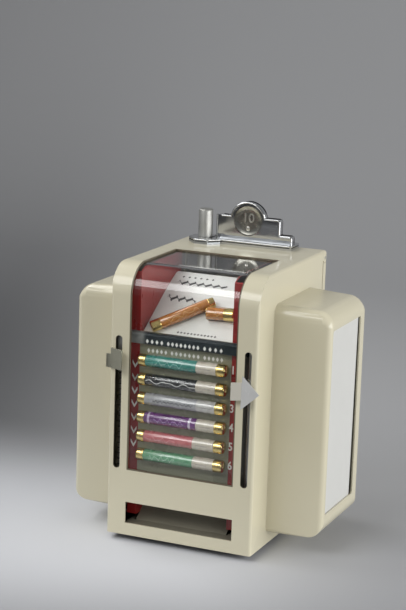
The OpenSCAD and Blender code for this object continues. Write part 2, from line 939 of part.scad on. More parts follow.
module side_plate(x0, x1, edge_x) {
    color(magazine_colour)
        difference() {
            intersection() {
                union() {
                    translate([(x0 + x1) / 2, 0, 0])
                        along_x(x1 - x0)
                            side_plate_outline();
                    block([min(x0, edge_x), panel_y, plate_low_z], [max(x1, edge_x), panel_y + plate_t, top_z]);
                }
                wrap(inner_skin, half_w);
            }
            spindle_holes(x0 - 1, x1 + 1);
        }
}

module left_side_plate() {
    side_plate(mag_left_x - plate_t, mag_left_x, -flange_x);
}

module right_side_plate() {
    side_plate(mag_right_x, mag_right_x + plate_t, flange_x);
}

module magazine_shelves() {
    color(steel_colour)
        for (n = [1 : row_count])
            translate([0, nose_y, nose_z(n)])
                rotate([shelf_slope, 0, 0])
                    block([mag_left_x, 0, -plate_t], [mag_right_x, shelf_l - 1, 0]);
}

module stock_tubes() {
    color("#b9b4a6")
        for (n = [1 : row_count])
            translate([0, nose_y, nose_z(n)])
                rotate([shelf_slope, 0, 0])
                    for (i = [0 : stock_count - 1])
                        bar_x(magazine_x - tube_l / 2, magazine_x + tube_l / 2,
                            tube_r + 1.2 + i * (tube_d + 0.15), tube_r + touch, tube_d);
}

module gate(n) {
    crank_x = spindle_left_x + 2;
    color(steel_colour)
        translate([0, gate_y, spindle_z(n)]) {
            bar_x(spindle_left_x, spindle_right_x, 0, 0, spindle_d);
            block([mag_left_x + clear, -plate_t / 2, 0], [mag_right_x - clear, plate_t / 2, gate_h]);
            block([crank_x, -7, -spindle_d / 2], [crank_x + 1.6, 0, spindle_d / 2]);
        }
}

module display_panel() {
    color(dark_colour)
        block([mag_left_x, panel_y, low_z + window_sill - 3],
            [mag_right_x, panel_y + plate_t, low_z + header_low + header_h]);
}

// Scent tubes on the display panel, seated on a narrow flat along the back

module tube_seat() {
    difference() {
        children();
        block([-body_w, panel_y, 0], [body_w, panel_y + tube_d, top_z]);
    }
}

module scent_tube(n) {
    color(tube_colours[n - 1])
        tube_seat()
            bar_x(magazine_x - tube_l / 2 + left_cap_l, magazine_x + tube_l / 2 - right_cap_l,
                tube_y, row_z(n), tube_d - 0.4);
}

module tube_caps() {
    left = magazine_x - tube_l / 2;
    right = magazine_x + tube_l / 2;
    crown = 0.8;
    color(brass_colour)
        for (n = [1 : row_count])
            tube_seat() {
                bar_x(left + crown, left + left_cap_l, tube_y, row_z(n), tube_d);
                bar_x(left, left + crown, tube_y, row_z(n), tube_d - 2 * crown);
                bar_x(right - right_cap_l, right - crown, tube_y, row_z(n), tube_d);
                bar_x(right - crown, right, tube_y, row_z(n), tube_d - 2 * crown);
            }
}

module header_bar() {
    z0 = low_z + header_low;
    z1 = z0 + header_h;
    color("#33424a")
        along_x(2 * flange_x)
            soft_polygon([[panel_y - header_t, z0], [panel_y, z0], [panel_y, z1], [panel_y - header_t, z1]],
                [0.8, 0, 0, header_t / 2]);
}

// Everything on the card is placed in its own plane: x across, y up the slope, z out of its face.
module on_card() {
    translate([0, card_low_y, card_low_z])
        rotate([card_slope, 0, 0])
            children();
}

module display_card() {
    color(paper_colour)
        on_card()
            block([mag_left_x, 0, -card_t], [mag_right_x, card_l, 0]);
}

module sample_tube() {
    low_at = [-42, 7];
    turn = 41.4;
    color("#c07a35")
        on_card()
            translate([low_at[0], low_at[1], tube_r + touch])
                rotate([0, 0, turn])
                    bar_x(0, sample_l, 0, 0, tube_d);
}

module sample_cap() {
    left_at = [6, 34];
    color("#c07a35")
        on_card()
            translate([left_at[0], left_at[1], tube_r + 0.4 + touch])
                rotate([0, 0, 3])
                    difference() {
                        bar_x(0, sample_cap_l, 0, 0, tube_d + 0.8);
                        bar_x(-1, sample_cap_l - 6, 0, 0, tube_d - 1);
                    }
}

module delivery_tray() {
    apron_z = low_z + delivery_sill - 1.6;
    ramp_y = panel_y + plate_t + drop_depth + 8;
    ramp_z = low_z + 26;
    wall_z = low_z + window_sill - 6;
    apron_x = delivery_w / 2 + 1.5;
    color(steel_colour) {
        block([-apron_x, in_front_y + touch, apron_z], [apron_x, panel_y - clear, apron_z + plate_t]);
        block([-apron_x, panel_y - 2, apron_z], [mag_left_x - plate_t - clear, ramp_y, apron_z + plate_t]);
        block([mag_right_x + plate_t + clear, panel_y - 2, apron_z], [apron_x, ramp_y, apron_z + plate_t]);
        translate([(mag_left_x + mag_right_x) / 2, 0, 0])
            along_x(mag_right_x - mag_left_x)
                polygon([
                    [panel_y - clear, apron_z], [ramp_y, ramp_z], [ramp_y, wall_z], [ramp_y - plate_t, wall_z],
                    [ramp_y - plate_t, ramp_z + plate_t], [panel_y - clear, apron_z + plate_t]
                ]);
    }
}

// Levers

module operate_lever() {
    flag_w = 15;
    flag_low = -6.5;
    flag_high = 13;
    flag_turn = 23.5;
    lip_w = 4.6;
    lip_drop = 6;
    flag_x = stem_t / 2 + 5.1;
    flag_y = lever_y - 5.4;
    color(steel_colour)
        translate([-slot_x, 0, operate_mid_z]) {
            block([-stem_t / 2, lever_y - 1.8, -stem_half / 2], [stem_t / 2, carriage_front_y, stem_half]);
            translate([flag_x, flag_y, 0])
                rotate([0, 0, -flag_turn])
                    block([-flag_w, 0, flag_low], [0, sheet, flag_high]);
            translate([flag_x - flag_w * cos(flag_turn), flag_y + flag_w * sin(flag_turn), 0])
                block([-lip_w, 0, flag_low], [0.6, 0.8 * sheet, flag_high - lip_drop]);
        }
}

module operate_carriage() {
    pawl_x = 3;
    color(steel_colour)
        difference() {
            union() {
                block([-slot_x - carriage_w / 2, carriage_front_y, operate_low_z],
                    [-slot_x + carriage_w / 2, carriage_back_y, operate_top_z]);
                block([-slot_x - 1, carriage_back_y, operate_low_z],
                    [-slot_x - 1 + pawl_x, gate_y - 4, operate_low_z + 6]);
            }
            bar_z(operate_low_z - 1, operate_top_z + 1, -slot_x, rod_y, rod_d + 2 * fit);
        }
}

module return_spring() {
    color(steel_colour)
        translate([-slot_x, rod_y, spring_low_z])
            coil(spring_top_z - spring_low_z, spring_r, spring_wire, spring_turns);
}

module guide_rods() {
    color(steel_colour)
        for (s = [-1, 1])
            bar_z(rod_low_z, rod_top_z, s * slot_x, rod_y, rod_d);
}

module rod_brackets() {
    color(dark_colour)
        for (s = [-1, 1], z = [rod_low_z, rod_top_z - bracket_t])
            difference() {
                block([min(s * bracket_in_x, s * bracket_out_x), in_front_y, z],
                    [max(s * bracket_in_x, s * bracket_out_x), bracket_y, z + bracket_t]);
                bar_z(z - 1, z + bracket_t + 1, s * slot_x, rod_y, rod_d + 2 * fit);
            }
}

module select_pointer() {
    ridge_y = front_y - ridge_out;
    ridge_x = -1.6;
    color(chrome_colour)
        translate([slot_x, 0, select_mid_z]) {
            block([-stem_t / 2, ridge_y + 0.7, -stem_half], [stem_t / 2, carriage_front_y, stem_half]);
            translate([ridge_x, ridge_y, 0]) {
                rotate([0, 0, 21])
                    rotate([90, 0, 0])
                        linear_extrude(sheet, center = true)
                            polygon([[0, 17.8], [16, 0], [-1, -14.5]]);
                rotate([0, 0, 180 - 22])
                    rotate([90, 0, 0])
                        linear_extrude(sheet, center = true)
                            polygon([[0, -5.5], [13.8, -8.4], [13.8, 8.6], [0, 11.4]]);
            }
        }
}

module select_carriage() {
    color(steel_colour)
        difference() {
            block([slot_x - carriage_w / 2, carriage_front_y, select_mid_z - select_half],
                [slot_x + carriage_w / 2, carriage_back_y, select_mid_z + select_half]);
            bar_z(select_mid_z - 2 * select_half, select_mid_z + 2 * select_half, slot_x, rod_y, rod_d + 2 * fit);
        }
}

module detent_rail() {
    rail_w = 5;
    notch_d = 1.4;
    color(steel_colour)
        difference() {
            block([slot_x - rail_w / 2, rail_y, rod_low_z + bracket_t],
                [slot_x + rail_w / 2, rail_y + rail_t, rod_top_z - bracket_t]);
            for (n = [1 : row_count])
                bar_x(slot_x - rail_w, slot_x + rail_w, rail_y, row_z(n), notch_d);
        }
}

module detent_spring() {
    leaf_t = 0.5;
    nose_d = 2;
    color(steel_colour)
        translate([slot_x, carriage_back_y, select_mid_z]) {
            block([-2, 0, -8], [2, leaf_t, 8]);
            bar_x(-2, 2, rail_y - carriage_back_y - clear - nose_d / 2, 0, nose_d);
        }
}

cabinet_shell();
base_plate();
feet();
window_pane();
window_gasket();
rear_door();
hinge_pins();
lock_barrel();
lock_plug();
lock_cam();
door_catch();
left_wing();
right_wing();
wing_screws();
left_napkins();
right_napkins();
left_follower();
right_follower();
left_follower_spring();
right_follower_spring();
coin_head();
coin_post();
coin_disc();
head_screws();
coin_chute();
cash_box();
left_side_plate();
right_side_plate();
magazine_shelves();
stock_tubes();
display_panel();
gate(1);  // gate_1
gate(2);  // gate_2
gate(3);  // gate_3
gate(4);  // gate_4
gate(5);  // gate_5
gate(6);  // gate_6
scent_tube(1);  // tube_1
scent_tube(2);  // tube_2
scent_tube(3);  // tube_3
scent_tube(4);  // tube_4
scent_tube(5);  // tube_5
scent_tube(6);  // tube_6
tube_caps();
header_bar();
display_card();
sample_tube();
sample_cap();
delivery_tray();
operate_lever();
operate_carriage();
return_spring();
guide_rods();
rod_brackets();
select_pointer();
select_carriage();
detent_rail();
detent_spring();
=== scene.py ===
import json
import math

import bmesh
import bpy
from mathutils import Matrix, Vector, noise


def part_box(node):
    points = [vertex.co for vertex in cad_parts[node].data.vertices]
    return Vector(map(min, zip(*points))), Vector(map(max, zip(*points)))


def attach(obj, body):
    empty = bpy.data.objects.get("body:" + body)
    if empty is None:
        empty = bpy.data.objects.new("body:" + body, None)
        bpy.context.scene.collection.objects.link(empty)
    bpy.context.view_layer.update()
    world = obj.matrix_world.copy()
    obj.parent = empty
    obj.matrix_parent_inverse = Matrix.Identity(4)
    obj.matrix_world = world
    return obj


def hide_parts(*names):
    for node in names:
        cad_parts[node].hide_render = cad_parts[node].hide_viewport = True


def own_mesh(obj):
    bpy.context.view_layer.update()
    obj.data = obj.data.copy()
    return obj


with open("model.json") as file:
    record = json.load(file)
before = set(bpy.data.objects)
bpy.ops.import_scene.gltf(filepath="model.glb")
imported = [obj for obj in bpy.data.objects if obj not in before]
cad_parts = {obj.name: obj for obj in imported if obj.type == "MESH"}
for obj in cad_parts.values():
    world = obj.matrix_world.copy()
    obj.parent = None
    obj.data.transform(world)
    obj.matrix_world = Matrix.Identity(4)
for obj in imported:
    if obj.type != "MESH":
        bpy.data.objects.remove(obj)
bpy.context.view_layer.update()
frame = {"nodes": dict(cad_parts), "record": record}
bodies = frame["record"]["behaviour"]["bodies"]
bodyOfNode = {node: body for body, nodes in bodies.items() for node in nodes}
scene = bpy.context.scene
mm = 0.001
micron = 0.000001
print("frame loaded:", len(frame["nodes"]), "nodes")

# camera, matched to the photograph
photoCamera = {"place": (0.6592, -1.5846, 0.5930), "yaw": 23.11, "pitch": 12.19, "roll": 1.88,
               "lens": 107.12, "sensor": 36, "clip": (0.05, 30)}


def addCamera(look):
    yaw, pitch, roll = (math.radians(look[key]) for key in ("yaw", "pitch", "roll"))
    back = Vector((math.sin(yaw) * math.cos(pitch), -math.cos(yaw) * math.cos(pitch), math.sin(pitch)))
    right = Vector((math.cos(yaw), math.sin(yaw), 0))
    up = back.cross(right)
    xAxis = math.cos(roll) * right + math.sin(roll) * up
    yAxis = -math.sin(roll) * right + math.cos(roll) * up
    data = bpy.data.cameras.new("photoCamera")
    data.lens, data.sensor_width = look["lens"], look["sensor"]
    data.clip_start, data.clip_end = look["clip"]
    camera = bpy.data.objects.new("photoCamera", data)
    scene.collection.objects.link(camera)
    turn = Matrix((xAxis, yAxis, back)).transposed().to_4x4()
    camera.matrix_world = Matrix.Translation(look["place"]) @ turn
    scene.camera = camera


addCamera(photoCamera)
print("camera placed")


# node helpers
def addNode(tree, kind, settings=None, values=None):
    made = tree.nodes.new(kind)
    for name, value in (settings or {}).items():
        setattr(made, name, value)
    for name, value in (values or {}).items():
        made.inputs[name].default_value = value
    return made


def newGroup(name, inputs, outputs):
    group = bpy.data.node_groups.new(name, "ShaderNodeTree")
    for label, kind, value in inputs:
        socket = group.interface.new_socket(label, in_out="INPUT", socket_type=kind)
        socket.default_value = value
    for label, kind in outputs:
        group.interface.new_socket(label, in_out="OUTPUT", socket_type=kind)
    return group, group.nodes.new("NodeGroupInput"), group.nodes.new("NodeGroupOutput")


def useGroup(tree, group, values):
    return addNode(tree, "ShaderNodeGroup", {"node_tree": group}, values)


def mathNode(tree, operation, *values):
    made = addNode(tree, "ShaderNodeMath", {"operation": operation})
    for index, value in enumerate(values):
        if isinstance(value, (int, float)):
            made.inputs[index].default_value = value
        else:
            tree.links.new(value, made.inputs[index])
    return made.outputs[0]


def mixColours(tree, factor, a, b):
    made = addNode(tree, "ShaderNodeMix", {"data_type": "RGBA"})
    for index, value in ((0, factor), (6, a), (7, b)):  # the factor and the two colour sockets
        if isinstance(value, tuple):
            made.inputs[index].default_value = value
        else:
            tree.links.new(value, made.inputs[index])
    return made.outputs[2]


def rgb(colour):
    return (*colour, 1)


def objectAxes(tree):
    where = addNode(tree, "ShaderNodeTexCoord")
    parts = addNode(tree, "ShaderNodeSeparateXYZ")
    tree.links.new(where.outputs["Object"], parts.inputs[0])
    return parts.outputs


def fadeNode(tree, value, span, blend="SMOOTHSTEP"):
    made = addNode(tree, "ShaderNodeMapRange", {"interpolation_type": blend},
                   {"From Min": span[0], "From Max": span[1]})
    tree.links.new(value, made.inputs["Value"])
    return made.outputs["Result"]


# where the factor is 1, light passes straight through the surface
def mixToClear(tree, shader, factor, tint=(1, 1, 1)):
    out = shader.outputs["BSDF"].links[0].to_node
    clear = addNode(tree, "ShaderNodeBsdfTransparent", None, {"Color": rgb(tint)})
    mix = addNode(tree, "ShaderNodeMixShader")
    for index, source in enumerate((factor, shader.outputs["BSDF"], clear.outputs["BSDF"])):
        tree.links.new(source, mix.inputs[index])
    tree.links.new(mix.outputs[0], out.inputs["Surface"])


# noise whose scale comes from a group's input
def addCloud(group, size, values):
    where = addNode(group, "ShaderNodeTexCoord")
    cloud = addNode(group, "ShaderNodeTexNoise", None, values)
    group.links.new(where.outputs["Object"], cloud.inputs["Vector"])
    group.links.new(size, cloud.inputs["Scale"])
    return cloud.outputs["Fac"]


# uneven tone: the colour drifts a little lighter and darker over the surface
def makeToneGroup():
    group, entry, leave = newGroup("unevenTone", [
        ("Colour", "NodeSocketColor", (0.5, 0.5, 0.5, 1)),
        ("Spread", "NodeSocketFloat", 0.05),
        ("Size", "NodeSocketFloat", 30.0)], [("Colour", "NodeSocketColor")])
    middle, gain = 0.5, 3.0  # the noise keeps near its middle value
    blotch = addCloud(group, entry.outputs["Size"], {"Detail": 4.0, "Roughness": 0.6})
    swing = mathNode(group, "MULTIPLY", mathNode(group, "SUBTRACT", blotch, middle), entry.outputs["Spread"])
    shade = addNode(group, "ShaderNodeHueSaturation")
    group.links.new(mathNode(group, "MULTIPLY_ADD", swing, gain, 1.0), shade.inputs["Value"])
    group.links.new(entry.outputs["Colour"], shade.inputs["Color"])
    group.links.new(shade.outputs["Color"], leave.inputs["Colour"])
    return group


# handling marks: roughness wanders between two values
def makeSmudgeGroup():
    group, entry, leave = newGroup("handlingSmudges", [
        ("Low", "NodeSocketFloat", 0.1),
        ("High", "NodeSocketFloat", 0.3),
        ("Size", "NodeSocketFloat", 60.0)], [("Roughness", "NodeSocketFloat")])
    cloud = addCloud(group, entry.outputs["Size"], {"Detail": 5.0, "Roughness": 0.65, "Distortion": 0.4})
    span = addNode(group, "ShaderNodeMapRange", None, {"From Min": 0.35, "From Max": 0.68})
    group.links.new(cloud, span.inputs["Value"])
    group.links.new(entry.outputs["Low"], span.inputs["To Min"])
    group.links.new(entry.outputs["High"], span.inputs["To Max"])
    group.links.new(span.outputs["Result"], leave.inputs["Roughness"])
    return group


# surface grain: a height that can be stretched along one way, for brushed metal, paper or stove enamel
def makeGrainGroup():
    group, entry, leave = newGroup("surfaceGrain", [
        ("Stretch", "NodeSocketVector", (1, 1, 1)),
        ("Size", "NodeSocketFloat", 600.0),
        ("Detail", "NodeSocketFloat", 2.0)], [("Height", "NodeSocketFloat")])
    links = group.links
    where = addNode(group, "ShaderNodeTexCoord")
    scaled = addNode(group, "ShaderNodeVectorMath", {"operation": "MULTIPLY"})
    grain = addNode(group, "ShaderNodeTexNoise", None, {"Roughness": 0.55})
    links.new(where.outputs["Object"], scaled.inputs[0])
    links.new(entry.outputs["Stretch"], scaled.inputs[1])
    links.new(scaled.outputs["Vector"], grain.inputs["Vector"])
    links.new(entry.outputs["Size"], grain.inputs["Scale"])
    links.new(entry.outputs["Detail"], grain.inputs["Detail"])
    links.new(grain.outputs["Fac"], leave.inputs["Height"])
    return group


# printed flourish: a thin wavy line across the front of a wrap, between two places along X
def makeFlourishGroup():
    group, entry, leave = newGroup("printedFlourish", [
        ("Start", "NodeSocketFloat", -0.02),
        ("End", "NodeSocketFloat", 0.01),
        ("Rise", "NodeSocketFloat", 0.0012),
        ("Waves", "NodeSocketFloat", 900.0),
        ("Thickness", "NodeSocketFloat", 0.0004)], [("Mask", "NodeSocketFloat")])
    overtone, share = 1.7, 0.5  # a quicker wave rides on the first one
    x, y, z = objectAxes(group)
    phase = mathNode(group, "MULTIPLY", x, entry.outputs["Waves"])
    quick = mathNode(group, "SINE", mathNode(group, "MULTIPLY", phase, overtone))
    wave = mathNode(group, "MULTIPLY_ADD", quick, share, mathNode(group, "SINE", phase))
    line = mathNode(group, "MULTIPLY", wave, entry.outputs["Rise"])
    away = mathNode(group, "ABSOLUTE", mathNode(group, "SUBTRACT", z, line))
    mask = mathNode(group, "LESS_THAN", away, entry.outputs["Thickness"])
    for test in (mathNode(group, "GREATER_THAN", x, entry.outputs["Start"]),
                 mathNode(group, "LESS_THAN", x, entry.outputs["End"]),
                 mathNode(group, "LESS_THAN", y, 0.0)):
        mask = mathNode(group, "MULTIPLY", mask, test)
    group.links.new(mask, leave.inputs["Mask"])
    return group


unevenTone = makeToneGroup()
handlingSmudges = makeSmudgeGroup()
surfaceGrain = makeGrainGroup()
printedFlourish = makeFlourishGroup()
print("shared shader groups made")


def newSurface(name):
    material = bpy.data.materials.new(name)
    material.use_nodes = True
    tree = material.node_tree
    tree.nodes.clear()
    out = tree.nodes.new("ShaderNodeOutputMaterial")
    shader = tree.nodes.new("ShaderNodeBsdfPrincipled")
    tree.links.new(shader.outputs["BSDF"], out.inputs["Surface"])
    return material, tree, shader


def setEvenly(shader, values):
    for name, value in values.items():
        shader.inputs[name].default_value = value


def toneOf(tree, colour, spread, size):
    tone = useGroup(tree, unevenTone, {"Colour": rgb(colour), "Spread": spread, "Size": size})
    return tone.outputs["Colour"]


def giveTone(tree, shader, colour, spread, size):
    tree.links.new(toneOf(tree, colour, spread, size), shader.inputs["Base Color"])


def giveSmudges(tree, shader, rough, size):
    smudge = useGroup(tree, handlingSmudges, {"Low": rough[0], "High": rough[1], "Size": size})
    tree.links.new(smudge.outputs["Roughness"], shader.inputs["Roughness"])


def giveGrain(tree, shader, size, detail, depth, stretch=(1, 1, 1)):
    grain = useGroup(tree, surfaceGrain, {"Stretch": stretch, "Size": size, "Detail": detail})
    bump = addNode(tree, "ShaderNodeBump", None, {"Strength": 1.0, "Distance": depth * micron})
    tree.links.new(grain.outputs["Height"], bump.inputs["Height"])
    tree.links.new(bump.outputs["Normal"], shader.inputs["Normal"])


# stove enamel, which can turn near-black beyond one place along X, as bare steel and painted shade; peel is
# in microns
enamelBase = {"blotch": 9.0, "smudge": 22.0, "grain": 260.0, "detail": 1.0, "coatRough": 0.06}
maroonLook = {"colour": (0.25, 0.012, 0.010), "spread": 0.05, "gloss": (0.26, 0.38), "peel": 10, "coat": 0.2}
enamelLooks = {
    "creamEnamel": {"colour": (0.66, 0.615, 0.455), "spread": 0.008,
                    "gloss": (0.2, 0.26), "peel": 6, "coat": 0.4},
    # dark dull paint inside the shell, also painting the shade seen in the slots
    "insidePaintAndShade": {"colour": (0.13, 0.118, 0.082), "spread": 0.04,
                    "gloss": (0.4, 0.55), "peel": 20, "coat": 0.0},
    "maroonEnamel": maroonLook,
    # near-black beyond the window's right edge: bare steel, and painted shade seen through the slot
    "maroonEdge": {**maroonLook, "beyond": 55.6, "bareSteelAndShade": (0.035, 0.033, 0.026)},
    "silverPlate": {"colour": (0.54, 0.54, 0.53), "spread": 0.3,
                    "gloss": (0.2, 0.36), "peel": 50, "coat": 0.5},
    "wornEnamel": {"colour": (0.60, 0.57, 0.49), "spread": 0.06,
                   "gloss": (0.35, 0.5), "peel": 30, "coat": 0.1},
    "trayEnamel": {"colour": (0.20, 0.185, 0.14), "spread": 0.08,
                   "gloss": (0.3, 0.45), "peel": 20, "coat": 0.1},
    "panelEnamel": {"colour": (0.25, 0.25, 0.175), "spread": 0.1,
                    "gloss": (0.22, 0.36), "peel": 20, "coat": 0.6},
    "blackEnamel": {"colour": (0.02, 0.02, 0.02), "spread": 0.06,
                    "gloss": (0.4, 0.6), "peel": 20, "coat": 0.0},
}


def enamelSurface(name, look):
    base = enamelBase
    material, tree, shader = newSurface(name)
    paint = toneOf(tree, look["colour"], look["spread"], base["blotch"])
    if "beyond" in look:
        bareSteelAndShade = mathNode(tree, "GREATER_THAN", objectAxes(tree)[0], look["beyond"] * mm)
        paint = mixColours(tree, bareSteelAndShade, paint, rgb(look["bareSteelAndShade"]))
    tree.links.new(paint, shader.inputs["Base Color"])
    giveSmudges(tree, shader, look["gloss"], base["smudge"])
    giveGrain(tree, shader, base["grain"], base["detail"], look["peel"])
    setEvenly(shader, {"Coat Weight": look["coat"], "Coat Roughness": base["coatRough"]})
    return material


# metals: brush stretches the grain along one way; depth is in microns
metalBase = {"blotch": 45.0, "detail": 3.0}
metalLooks = {
    "polishedChrome": {"colour": (0.64, 0.65, 0.66), "spread": 0.03, "rough": (0.06, 0.14), "smudge": 70.0,
                       "brush": (1, 1, 1), "grain": 500.0, "depth": 3},
    # black glossy bars that paint shade lines on the coin head
    "shadeLineBlack": {"colour": (0.05, 0.05, 0.052), "spread": 0.05, "rough": (0.12, 0.22), "smudge": 90.0,
                    "brush": (1, 1, 1), "grain": 600.0, "depth": 4},
    "coveMetal": {"colour": (0.36, 0.375, 0.39), "spread": 0.04, "rough": (0.3, 0.42), "smudge": 90.0,
                  "brush": (0.05, 1, 1), "grain": 900.0, "depth": 20},
    "satinPost": {"colour": (0.45, 0.45, 0.425), "spread": 0.08, "rough": (0.42, 0.56), "smudge": 120.0,
                  "brush": (1, 1, 0.04), "grain": 1100.0, "depth": 15},
    "discMetal": {"colour": (0.34, 0.335, 0.30), "spread": 0.12, "rough": (0.16, 0.3), "smudge": 160.0,
                  "brush": (1, 1, 1), "grain": 700.0, "depth": 20},
    "reliefMetal": {"colour": (0.66, 0.65, 0.60), "spread": 0.08, "rough": (0.25, 0.4), "smudge": 200.0,
                    "brush": (1, 1, 1), "grain": 900.0, "depth": 10},
    "leverPlate": {"colour": (0.42, 0.41, 0.32), "spread": 0.08, "rough": (0.26, 0.4), "smudge": 130.0,
                   "brush": (1, 1, 0.12), "grain": 900.0, "depth": 15},
    "zincSteel": {"colour": (0.50, 0.50, 0.48), "spread": 0.08, "rough": (0.3, 0.5), "smudge": 60.0,
                  "brush": (0.2, 1, 1), "grain": 1200.0, "depth": 10},
    # dark steel for the side plates' outer faces, also painting the shade seen through the slots
    "darkSteelAndSlotShade": {"colour": (0.06, 0.058, 0.05), "spread": 0.1, "rough": (0.4, 0.6), "smudge": 60.0,
                  "brush": (1, 1, 0.2), "grain": 800.0, "depth": 10},
    "oiledWire": {"colour": (0.10, 0.096, 0.09), "spread": 0.08, "rough": (0.3, 0.45), "smudge": 120.0,
                  "brush": (1, 1, 1), "grain": 900.0, "depth": 5},
    "brassCap": {"colour": (0.84, 0.65, 0.26), "spread": 0.06, "rough": (0.12, 0.24), "smudge": 160.0,
                 "brush": (0.08, 1, 1), "grain": 1400.0, "depth": 6},
}


def metalSurface(name, look):
    material, tree, shader = newSurface(name)
    giveTone(tree, shader, look["colour"], look["spread"], metalBase["blotch"])
    giveSmudges(tree, shader, look["rough"], look["smudge"])
    giveGrain(tree, shader, look["grain"], metalBase["detail"], look["depth"], look["brush"])
    setEvenly(shader, {"Metallic": 1.0})
    return material


# rubber, paper, paint marks and ink; depth is in microns
softBase = {"smudge": 80.0, "detail": 4.0}
softLooks = {
    "footRubber": {"colour": (0.018, 0.018, 0.018), "spread": 0.1, "blotch": 60.0, "rough": (0.6, 0.8),
                   "stretch": (1, 1, 1), "grain": 1500.0, "depth": 40},
    "gasketRubber": {"colour": (0.14, 0.115, 0.075), "spread": 0.1, "blotch": 60.0, "rough": (0.35, 0.5),
                     "stretch": (1, 1, 1), "grain": 1500.0, "depth": 20},
    "napkinPaper": {"colour": (0.575, 0.575, 0.55), "spread": 0.02, "blotch": 30.0, "rough": (0.85, 0.95),
                    "stretch": (1, 1, 0.6), "grain": 1400.0, "depth": 60},
    "markPaint": {"colour": (0.72, 0.71, 0.67), "spread": 0.04, "blotch": 80.0, "rough": (0.45, 0.6),
                  "stretch": (1, 1, 1), "grain": 1200.0, "depth": 10},
    "cardInk": {"colour": (0.05, 0.05, 0.05), "spread": 0.1, "blotch": 120.0, "rough": (0.5, 0.65),
                "stretch": (1, 1, 1), "grain": 1500.0, "depth": 5},
}


def softSurface(name, look):
    material, tree, shader = newSurface(name)
    giveTone(tree, shader, look["colour"], look["spread"], look["blotch"])
    giveSmudges(tree, shader, look["rough"], softBase["smudge"])
    giveGrain(tree, shader, look["grain"], softBase["detail"], look["depth"], look["stretch"])
    return material


# clear pane: light passes straight through it for shadows, so the display inside is lit
paneLook = {"tint": (0.97, 0.98, 0.975), "ior": 1.46, "rough": (0.008, 0.022), "smudge": 25.0,
            "shadow": (0.9, 0.9, 0.9)}


def paneSurface(name, look):
    material, tree, shader = newSurface(name)
    setEvenly(shader, {"Base Color": rgb(look["tint"]), "Transmission Weight": 1.0, "IOR": look["ior"]})
    giveSmudges(tree, shader, look["rough"], look["smudge"])
    path = addNode(tree, "ShaderNodeLightPath")
    mixToClear(tree, shader, path.outputs["Is Shadow Ray"], look["shadow"])
    return material


# scent wraps: coloured sleeve with a printed flourish, and pale ruled paper beyond the start of the label
wrapBase = {"spread": 0.08, "blotch": 90.0, "paperSpread": 0.05, "paperBlotch": 120.0,
            "paper": (0.47, 0.425, 0.35), "ruleInk": (0.25, 0.24, 0.23),
            "rule": {"from": 4.0, "to": 15.0, "rise": 0.0, "waves": 10, "thick": 0.25},
            "gloss": (0.2, 0.34), "smudge": 120.0, "grain": 700.0, "detail": 2.0, "depth": 4,
            "coatRough": 0.035, "coatIor": 1.85}
wrapLooks = {
    "tealWrap": {"colour": (0.03, 0.19, 0.155), "ink": (0.30, 0.56, 0.50), "label": 15.5,
                 "flourish": {"from": -26.4, "to": 1.6, "rise": 1.4, "waves": 760, "thick": 0.3}},
    "blackWrap": {"colour": (0.012, 0.012, 0.013), "ink": (0.60, 0.60, 0.58), "label": 15.8,
                  "flourish": {"from": -35.4, "to": 15.6, "rise": 1.1, "waves": 330, "thick": 0.4}},
    "silverWrap": {"colour": (0.29, 0.293, 0.30), "ink": (0.09, 0.09, 0.10), "label": 16.8,
                   "paper": (0.42, 0.41, 0.39),
                   "flourish": {"from": -27.4, "to": 13.6, "rise": 0.6, "waves": 1500, "thick": 0.5}},
    "purpleWrap": {"colour": (0.105, 0.02, 0.135), "ink": (0.42, 0.29, 0.52), "label": 17.0,
                   "bands": [(-33.0, -30.8, (0.44, 0.35, 0.50)), (9.2, 11.5, (0.52, 0.46, 0.56))],
                   "flourish": {"from": -26.4, "to": 4.6, "rise": 1.3, "waves": 900, "thick": 0.3}},
    "pinkWrap": {"colour": (0.42, 0.115, 0.12), "ink": (0.60, 0.26, 0.28), "label": 14.0,
                 "flourish": {"from": -27.4, "to": -3.4, "rise": 1.3, "waves": 650, "thick": 0.3}},
    "greenWrap": {"colour": (0.085, 0.25, 0.13), "ink": (0.40, 0.60, 0.46), "label": 14.5,
                  "flourish": {"from": -29.4, "to": -3.4, "rise": 1.5, "waves": 1000, "thick": 0.35}},
    "amberWrap": {"colour": (0.43, 0.165, 0.028), "ink": (0.62, 0.38, 0.16),
                  "flourish": {"from": -16.0, "to": 16.0, "rise": 1.4, "waves": 620, "thick": 0.32}},
    "stockWrap": {"colour": (0.36, 0.33, 0.27)},
}


def flourishMask(tree, look, start=0.0):
    mark = useGroup(tree, printedFlourish, {
        "Start": (start + look["from"]) * mm, "End": (start + look["to"]) * mm, "Rise": look["rise"] * mm,
        "Waves": look["waves"], "Thickness": look["thick"] * mm})
    return mark.outputs["Mask"]


def wrapSurface(name, look):
    base = wrapBase
    material, tree, shader = newSurface(name)
    along = objectAxes(tree)[0]
    sleeve = toneOf(tree, look["colour"], base["spread"], base["blotch"])
    for start, end, colour in look.get("bands", []):
        band = mathNode(tree, "MULTIPLY", mathNode(tree, "GREATER_THAN", along, start * mm),
                        mathNode(tree, "LESS_THAN", along, end * mm))
        sleeve = mixColours(tree, band, sleeve, rgb(colour))
    if "ink" in look:
        sleeve = mixColours(tree, flourishMask(tree, look["flourish"]), sleeve, rgb(look["ink"]))
    if "label" in look:
        paper = toneOf(tree, look.get("paper", base["paper"]), base["paperSpread"], base["paperBlotch"])
        rule = flourishMask(tree, base["rule"], look["label"])
        printed = mixColours(tree, rule, paper, rgb(base["ruleInk"]))
        onLabel = mathNode(tree, "GREATER_THAN", along, look["label"] * mm)
        sleeve = mixColours(tree, onLabel, sleeve, printed)
    tree.links.new(sleeve, shader.inputs["Base Color"])
    giveSmudges(tree, shader, base["gloss"], base["smudge"])
    giveGrain(tree, shader, base["grain"], base["detail"], base["depth"])
    setEvenly(shader, {"Coat Weight": 1.0, "Coat Roughness": base["coatRough"], "Coat IOR": base["coatIor"]})
    return material
